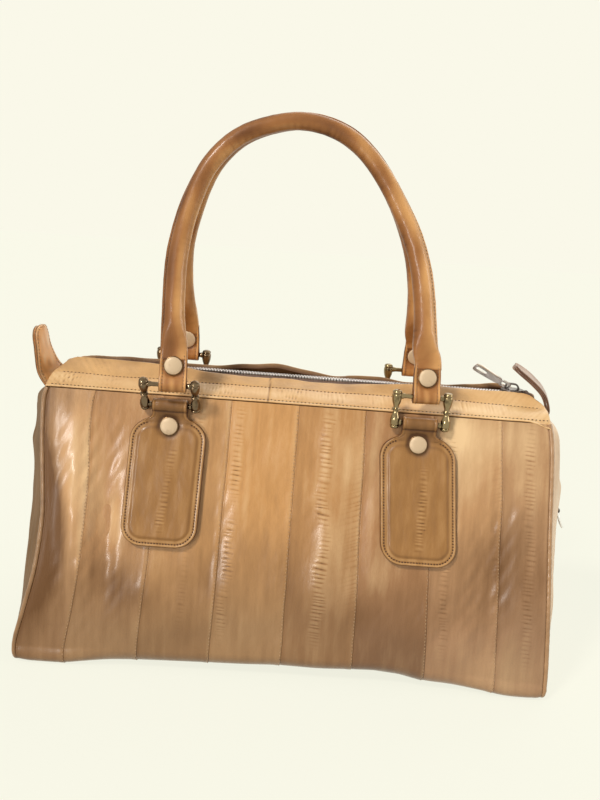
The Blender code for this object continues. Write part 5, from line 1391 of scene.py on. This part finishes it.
# The handle's line between its straight ends, in shares of its half span and of its rise
HANDLE_LINE = ((-1.015, 0.3188), (-1.0, 0.4986), (-0.910, 0.6899), (-0.760, 0.8406), (-0.505, 0.9478),
               (-0.12, 1.0), (0.215, 0.9693), (0.465, 0.8812), (0.685, 0.7304), (0.862, 0.5449), (0.940, 0.3710),
               (0.968, 0.1913))
ACROSS = np.array([0, 1.0, 0])
STRAP_HALF = 0.0010
STRAND_TURN = 0.00135


def handle_axes(side, left, right):
    """The middle of the upper bars, and rows: along them, across the handle and up its leaning plane."""
    middle, along = (left + right) / 2, unit(right - left)
    up = np.array([middle[0], side * 0.0059, HANDLE_TOP_HEIGHT]) - middle
    up = unit(up - along * (up @ along))
    return middle, np.array([along, np.cross(up, along), up])


class Roll:
    """A handle's roll in its own plane: its middle line, directions, half sizes and the turn of its seam."""

    def __init__(self, side, span):
        ends = ((-1.0, 0.0), (-1.0, STRAP_LENGTH / HANDLE_RISE))
        shares = [*ends, *HANDLE_LINE, *((-x, rise) for x, rise in reversed(ends))]
        route = smooth_path([(x * span, 0, rise * HANDLE_RISE) for x, rise in shares], 30)[24:-24]
        if side > 0:
            x, z = route[:, 0].copy(), route[:, 2]
            route[:, 0] -= np.where(x > 0, 0.0018 * ease(0.0, 0.05, x) * ease(0.03, 0.11, z),
                                    0.0020 * ease(0.0, -0.05, x) * hump(z, 0.070, 0.035))
            route[:, 2] -= 0.0016 * ease(0.10, 0.16, z)
        self.route = route
        self.along = unit(np.gradient(route, axis=0))
        self.along[0], self.along[-1] = (0, 0, 1), (0, 0, -1)
        self.outward = np.cross(self.along, ACROSS)
        self.run = path_length(route)[:, None]
        self.ends = np.minimum(self.run, self.run[-1] - self.run)
        self.flat = 1 - ease(0.002, 0.026, self.ends)
        self.rise = route[:, 2:] / HANDLE_RISE
        self.half_out = 0.0057 + 0.0013 * (1 - self.rise) + 0.0018 * hump(self.ends, 0, 0.020)
        self.half_thick = (0.0056 * self.rise + 0.0064 * (1 - self.rise)) * (1 - self.flat) + 0.0023 * self.flat
        self.seam_turn = -side * 0.55 * ease(0.45, 0.85, self.rise)

    def around(self, out, across):
        """The points that stand out of the middle line by one distance and across it by another."""
        return self.route[:, None] + self.outward[:, None] * out[..., None] + ACROSS * across[..., None]


def roll_surface(roll, side):
    """The roll's leather: round, square where it flattens, with a sewn fin and wrinkles inside its bend."""
    angle = np.sort(np.concatenate([turns(48), np.linspace(-0.42, 0.42, 18)[1:-1] % math.tau]))[None, :]
    cosine, sine = np.cos(angle + roll.seam_turn), np.sin(angle + roll.seam_turn)
    squareness = 2.0 + 4.0 * roll.flat
    scale = (np.abs(cosine) ** squareness + np.abs(sine) ** squareness) ** (-1 / squareness)
    bend = np.gradient(roll.along, axis=0) / np.maximum(np.gradient(roll.run, axis=0), 1e-9)
    curve = np.einsum("ij,ij->i", bend, -roll.outward)[:, None]
    inside = hump(angle, math.pi, 0.9)
    wrinkles = ticks(angle - math.pi, roll.run, 1.1, 0.0052, 151 + side) * inside
    seam_angle = np.minimum(angle, math.tau - angle)
    soft = 1 - roll.flat
    reach = (0.00010 * ripple(roll.run, angle * 0.006, 0.040, 0.02, 153 + side)
             + 0.00005 * ripple(roll.run, angle * 0.006, 0.008, 0.006, 155)
             + 0.00014 * wrinkles * np.clip(curve * 0.03, 0.1, 1) * soft
             - 0.00022 * hump(seam_angle, 0.36, 0.12) * soft
             + 0.0012 * (1 - 0.7 * roll.flat) * np.exp(-(seam_angle / 0.17) ** 4)
             - 0.0004 * hump(seam_angle, 0, 0.035) * (1 - 0.6 * roll.flat))
    points = roll.around((roll.half_out * scale + reach) * cosine, (roll.half_thick * scale + reach) * sine)
    # The tone paints light on the side that faces the bag's right and on the right leg, and shade and highlight
    # on the wrinkles
    tone = (0.30 * wrinkles + 0.34 * ripple(roll.run, angle * 0.006, 0.035, 0.012, 159 + side)
            - 0.30 * hump(seam_angle, 0.36, 0.10) * soft + 0.25 * hump(seam_angle, 0.15, 0.06)
            - 0.25 * ease(0.80, 1.0, roll.rise) - 0.9 * (1 - ease(0.0, 0.0012, roll.ends))
            + 0.70 * roll.outward[:, :1] * cosine + 0.35 * ease(0.02, 0.06, roll.route[:, :1]))
    edge = 0.6 * hump(seam_angle, 0, 0.06) * (1 - 0.3 * roll.flat)
    return Shape().grid(points, tone=tone, edge=edge, place=stack(roll.run, angle * 0.006))


def make_straps(strap, thread, side, span, axes, centre):
    """Each strap is one ribbon, down in front, round the link's bar and up behind, and holds the roll's end."""
    turn = np.radians(np.linspace(-20, 200, 30))
    loop = -0.0033 * stack(np.cos(turn), np.sin(turn))
    down = smooth_path([(-0.00105, 0.0222), (-0.00125, 0.0150), (-0.00130, 0.0075), (-0.0021, 0.0040),
                        loop[0]], 9)
    line = np.vstack([down[:-1], loop, (down[::-1] * (-1, 1))[1:]])
    heading = unit(np.gradient(line, axis=0))
    normal = stack(heading[:, 1], -heading[:, 0])
    up = line[:, 1:]
    half = 0.0088 - 0.0004 * ease(0.012, 0.022, up)
    width = half * (spacing(2.0, (0, 0.02, 0.05, 0.10, 0.16), 0.10) - 1)
    room = half - np.abs(width)
    fall = 0.0006 * rolled(room, 0.0008)
    away = np.hypot(width, up - STRAP_RIVET_RISE)
    sunk = 0.0005 * hump(away, 0.0066, 0.0018) * (up > 0.004) + 0.0002 * hump(room, 0.0021, 0.0005)
    # Rubbed leather with painted light: a lighter strap, painted highlight on the rolled edges and painted shade
    # in the stitch groove and round the rivet
    wear_and_painted_light = (0.25 + 0.30 * ripple(width, up, 0.006, 0.02, 161 + side) + 0.6 * hump(room, 0.0011, 0.0005)
            - 0.35 * hump(room, 0.0020, 0.0005) - 0.5 * hump(away, 0.0064, 0.0014))
    for middle in (-span, span):
        front, back = (line[:, None] + normal[:, None] * lift[..., None]
                       for lift in (STRAP_HALF - fall - sunk, fall * 0.6 - STRAP_HALF))
        front, back = (stack(width + middle, face[..., 0], face[..., 1]) for face in (front, back))
        strap.sheet(back, front, tone=wear_and_painted_light, back_tone=wear_and_painted_light, edge=np.clip(1 - room / 0.0005, 0, 1),
                    place=stack(width, np.linspace(0, 0.06, len(line))[:, None]))
        for offset in (-0.0068, 0.0068):
            outer = line + normal * 0.00098
            path = stack(middle + offset, outer[:, 0], outer[:, 1]) @ axes + centre
            stitches(thread, path, stack(0, normal[:, 0], normal[:, 1]) @ axes, "strap")
    strap.move(axes, centre)


def make_handle(label, side, left, right):
    """A rolled handle with a sewn seam on its outer side, its straps and their thread, its cord and rivets."""
    middle, axes = handle_axes(side, left, right)
    span = np.linalg.norm(right - left) / 2
    roll = Roll(side, span)
    strap, thread, core = Shape(), Shape(), Shape()
    roll_surface(roll, side).move(axes, middle).make(
        f"{label}_handle_roll", HANDLE_LEATHER, f"{label}_handle", "handle_leather", f"{label}_handle_cover")
    make_straps(strap, thread, side, span, axes, middle)
    strap.make(f"{label}_handle_straps", HANDLE_LEATHER, f"{label}_handle", "handle_leather")
    keep = roll.ends[:, 0] > 0.006
    for offset in (-0.26, 0.26):
        turn = offset + roll.seam_turn
        path = roll.around(roll.half_out * np.cos(turn) * 1.03,
                           roll.half_thick * np.sin(turn) * (1.03 + 0.5 * roll.flat))[keep, 0]
        normals = (roll.outward * np.cos(turn) + ACROSS * np.sin(turn))[keep]
        stitches(thread, path @ axes + middle, normals @ axes, "roll")
    thread.make(f"{label}_handle_thread", THREAD, f"{label}_handle", "handle_leather")
    for strand in range(3):
        turn = math.tau * (roll.run / 0.016 + strand / 3)
        path = roll.around(STRAND_TURN * np.cos(turn), STRAND_TURN * np.sin(turn))[:, 0]
        tube(core, path[roll.ends[:, 0] > 0.024], 0.0014, sides=10)
    core.move(axes, middle).make(
        f"{label}_handle_cord", CORD, f"{label}_handle", "cord_core", f"{label}_handle_core")
    for sign, name in ((-1, "left"), (1, "right")):
        seat = np.array([sign * span, 0, STRAP_RIVET_RISE]) @ axes + middle
        outer, inner = (np.array([axes[0] * face, axes[2], axes[1] * face]) for face in (side, -side))
        make_cap(f"{label}_{name}", "handle_rivet", outer, seat, 0.0026, -1.2, f"{label}_handle")
        Shape().grid(turned_grid(rounded_profile(INNER_CROWN) + (0, 0.0026), 44) @ inner + seat).make(
            f"{label}_{name}_handle_rivet_inner_cap", CAP_METAL, f"{label}_handle", "cap_metal")


# Side pocket

SIDE_CHAIN = 0.18255
STOP_LEVELS = ((0.8, -0.0010), (1.0, -0.0007), (1.0, 0.0007), (0.8, 0.0010))


def side_place(points):
    """From a chain's own axes to the right end: along it is down, and out of it is +X."""
    return stack(points[..., 2] + SIDE_CHAIN, points[..., 1], -points[..., 0])


def make_side_pocket():
    """The side zip's tape, its teeth with a stop at each end, and a flat pouch behind them."""
    tape, chain = Shape(), Shape()
    for y_side in (-1, 1):
        front = stack(SIDE_CHAIN + TAPE / 2, y_side * np.linspace(0.0026, 0.0100, 6),
                      np.linspace(0.036, 0.131, 60)[:, None])
        tape.sheet(front, front - (TAPE, 0, 0), place=front[..., 1:], mirror=y_side < 0)
        teeth(chain, (-0.1265, -0.0405), y_side, SIDE_TEETH, side_place)
    tape.make("side_tape_cloth", ZIP_CLOTH, "bag", "zip_cloth", "side_zip_tape")
    for stop in (-0.1262, -0.0412):
        outline = stack(0.0007 * np.cos(turns(24)) + stop, 0.0022 * np.sin(turns(24)))
        chain.grid(side_place(plate_rings(outline, STOP_LEVELS)))
    chain.make("side_teeth", ZIP_METAL, "bag", "zip_metal", "side_zip_teeth")
    depth, reach = np.array([(0.17335, 0.98), (0.1734, 1.0), (0.1770, 1.0), (0.1815, 1.0), (0.18185, 1.0),
                             (0.18180, 0.92), (0.1770, 0.92), (0.1745, 0.91), (0.1742, 0.85)]).T[:, :, None]
    outline = superellipse(turns(80) + math.pi / 80, 0.25)
    points = stack(depth, 0.0100 * reach * outline[:, 0], 0.0835 + (0.0375 + 0.0100 * reach) * outline[:, 1])
    Shape().grid(points, place=points[..., 1:]).make("side_pocket_cloth", POCKET_CLOTH, "bag", "lining_cloth",
                                                     "side_pocket")


def make_swung_pull(name, pivot, swing, roll, length, width):
    """A pull that rises by an angle from -X and is rolled about its own length by another, in degrees."""
    swing, roll = math.radians(swing), math.radians(roll)
    along = np.array([-math.cos(swing), 0, math.sin(swing)])
    broad = np.array([0, 1, 0]) * math.cos(roll) + np.cross(along, (0, 1, 0)) * math.sin(roll)
    make_pull(name, np.array(pivot), np.array([along, broad, np.cross(along, broad)]), length, width)


# Everything in its place

for side, name in ((-1, "left"), (1, "right")):
    make_gusset(side, f"{name}_gusset")
    make_piping(side, f"{name}_piping")
make_base()
make_lining()
make_board()
for label, side in SIDES.items():
    make_band(side, label)
    make_tape(side, label)
    teeth(Shape(), CHAIN_ENDS, side, MAIN_TEETH, main_place).make(
        f"{label}_teeth", ZIP_METAL, f"{label}_mouth", "zip_metal", f"{label}_zip_teeth")
make_zip_end(-1, "left_zip_end", 0.1345)
make_zip_end(1, "right_zip_end", 0.1370)
for label in TAB_LINES:
    make_tab(label)
make_side_pocket()
make_slider("main_slider", np.eye(3), np.array([SLIDER_PLACE, 0, ZIP_HEIGHT]), 0.016, 0.0062, 0.0030)
down = np.array([[0, 0, -1.0], [0, 1.0, 0], [1.0, 0, 0]])
make_slider("side_slider", down, np.array([SIDE_CHAIN, 0, 0.1125]), 0.010, 0.0040, 0.0022)
make_swung_pull("main_pull", (0.14206, 0, 0.199914), 28, 46, 0.028, 0.0096)
make_swung_pull("side_pull", (0.186555, 0, 0.1134), -115, 0, 0.014, 0.0064)
for number, (label, side) in enumerate(SIDES.items()):
    loops = {}
    for order, (name, x) in enumerate(LINK_PLACES.items()):
        x -= BACK_LEFT_SHIFT * ((label, name) == ("back", "left"))
        tilt = TILTED_LINK if (label, name) == ("front", "left") else 0.0
        make_link(f"{label}_{name}", side, x, tilt)
        lean = side * (1 if name == "left" else -1) * PATCH_LEANS[name]
        make_patch(f"{label}_{name}", side, x, lean, 200 + 20 * number + 10 * order)
        seat = np.array([0, -CAP_DROP, 0]) @ wall_axes(side) + link_centre(side, x, 0)
        make_cap(f"{label}_{name}", "patch_rivet", wall_axes(side), seat, 0.0041, -3.0, "bag")
        top = np.array([STRAP_SHIFT, side * math.sin(tilt) * BAR_SPACING, math.cos(tilt) * BAR_SPACING])
        loops[name] = link_centre(side, x) + top
    make_handle(label, side, loops["left"], loops["right"])


# Camera, lights and floor

def add_object(name, data):
    made = bpy.data.objects.new(name, data)
    bpy.context.scene.collection.objects.link(made)
    return made


CAMERA_LENS = 43.56
CAMERA_DROP = math.radians(14)
CAMERA_ROLL = math.radians(4.3)
# Each sun: the way that its light comes from, strength, angle across in degrees, colour
SUNS = {"key": ((-0.62, -0.75, 0.95), 1.75, 9, (1.0, 0.96, 0.90)),
        "window": ((-0.50, -0.86, 0.12), 0.85, 11, (1.0, 0.97, 0.93)),
        "side": ((1.0, -0.10, 0.30), 0.9, 25, (1.0, 0.97, 0.94)),
        "rim": ((0.4, 0.9, 0.9), 0.8, 50, (1.0, 0.97, 0.94))}
CREAM = as_colour(250, 248, 233)
SOFT_LIGHT = (1.0, 0.97, 0.93, 1.0)
FLOOR_COLOUR = (0.42, 0.41, 0.36, 1.0)
FLOOR_GLOW = (1.158, 1.157, 1.0, 1.0)
SHOWN_RAYS = ("Is Camera Ray", "Is Glossy Ray", "Is Transmission Ray")

camera_data = bpy.data.cameras.new("camera")
camera_data.lens = CAMERA_LENS
camera_data.sensor_width = 36
camera_data.clip_start = 0.01
camera = add_object("camera", camera_data)
camera.location = (0, -0.650, 0.3415)
camera.rotation_euler = (Euler((math.pi / 2 - CAMERA_DROP, 0, 0)).to_matrix()
                         @ Matrix.Rotation(CAMERA_ROLL, 3, "Z")).to_euler()
bpy.context.scene.camera = camera

for name, (come_from, strength, angle, colour) in SUNS.items():
    lamp = bpy.data.lights.new(name, "SUN")
    lamp.energy, lamp.angle, lamp.color = strength, math.radians(angle), colour
    made = add_object(name, lamp)
    made.location = come_from
    made.rotation_euler = (-Vector(come_from)).to_track_quat("-Z", "Y").to_euler()

world = bpy.data.worlds.new("soft studio")
bpy.context.scene.world = world
world.use_nodes = True
world.node_tree.nodes.clear()
sky = Nodes(world.node_tree)
shown = sky.node("ShaderNodeBackground", None, Color=CREAM).outputs[0]
soft = sky.node("ShaderNodeBackground", None, Color=SOFT_LIGHT, Strength=0.34).outputs[0]
mixed = sky.node("ShaderNodeMixShader", None, _0=sky.rays(*SHOWN_RAYS), _1=soft, _2=shown).outputs[0]
sky.node("ShaderNodeOutputWorld", None, _0=mixed)

floor_mesh = bpy.data.meshes.new("floor")
floor_mesh.from_pydata([(-3, -3, 0), (3, -3, 0), (3, 3, 0), (-3, 3, 0)], [], [(0, 1, 2, 3)])
floor = add_object("floor", floor_mesh)
ground = Finish("floor")
ground.set(Base_Color=FLOOR_COLOUR, Roughness=1.0, Specular_IOR_Level=0.0)
glow = ground.node("ShaderNodeEmission", None, Color=FLOOR_GLOW).outputs[0]
share = ground.rays(*SHOWN_RAYS) * 0.72
mixed = ground.node("ShaderNodeMixShader", None, _0=share, _1=ground.shader.outputs[0], _2=glow).outputs[0]
ground.feed(ground.tree.nodes["Material Output"].inputs[0], mixed)
floor_mesh.materials.append(ground.material)

bpy.context.scene.view_settings.view_transform = "Standard"
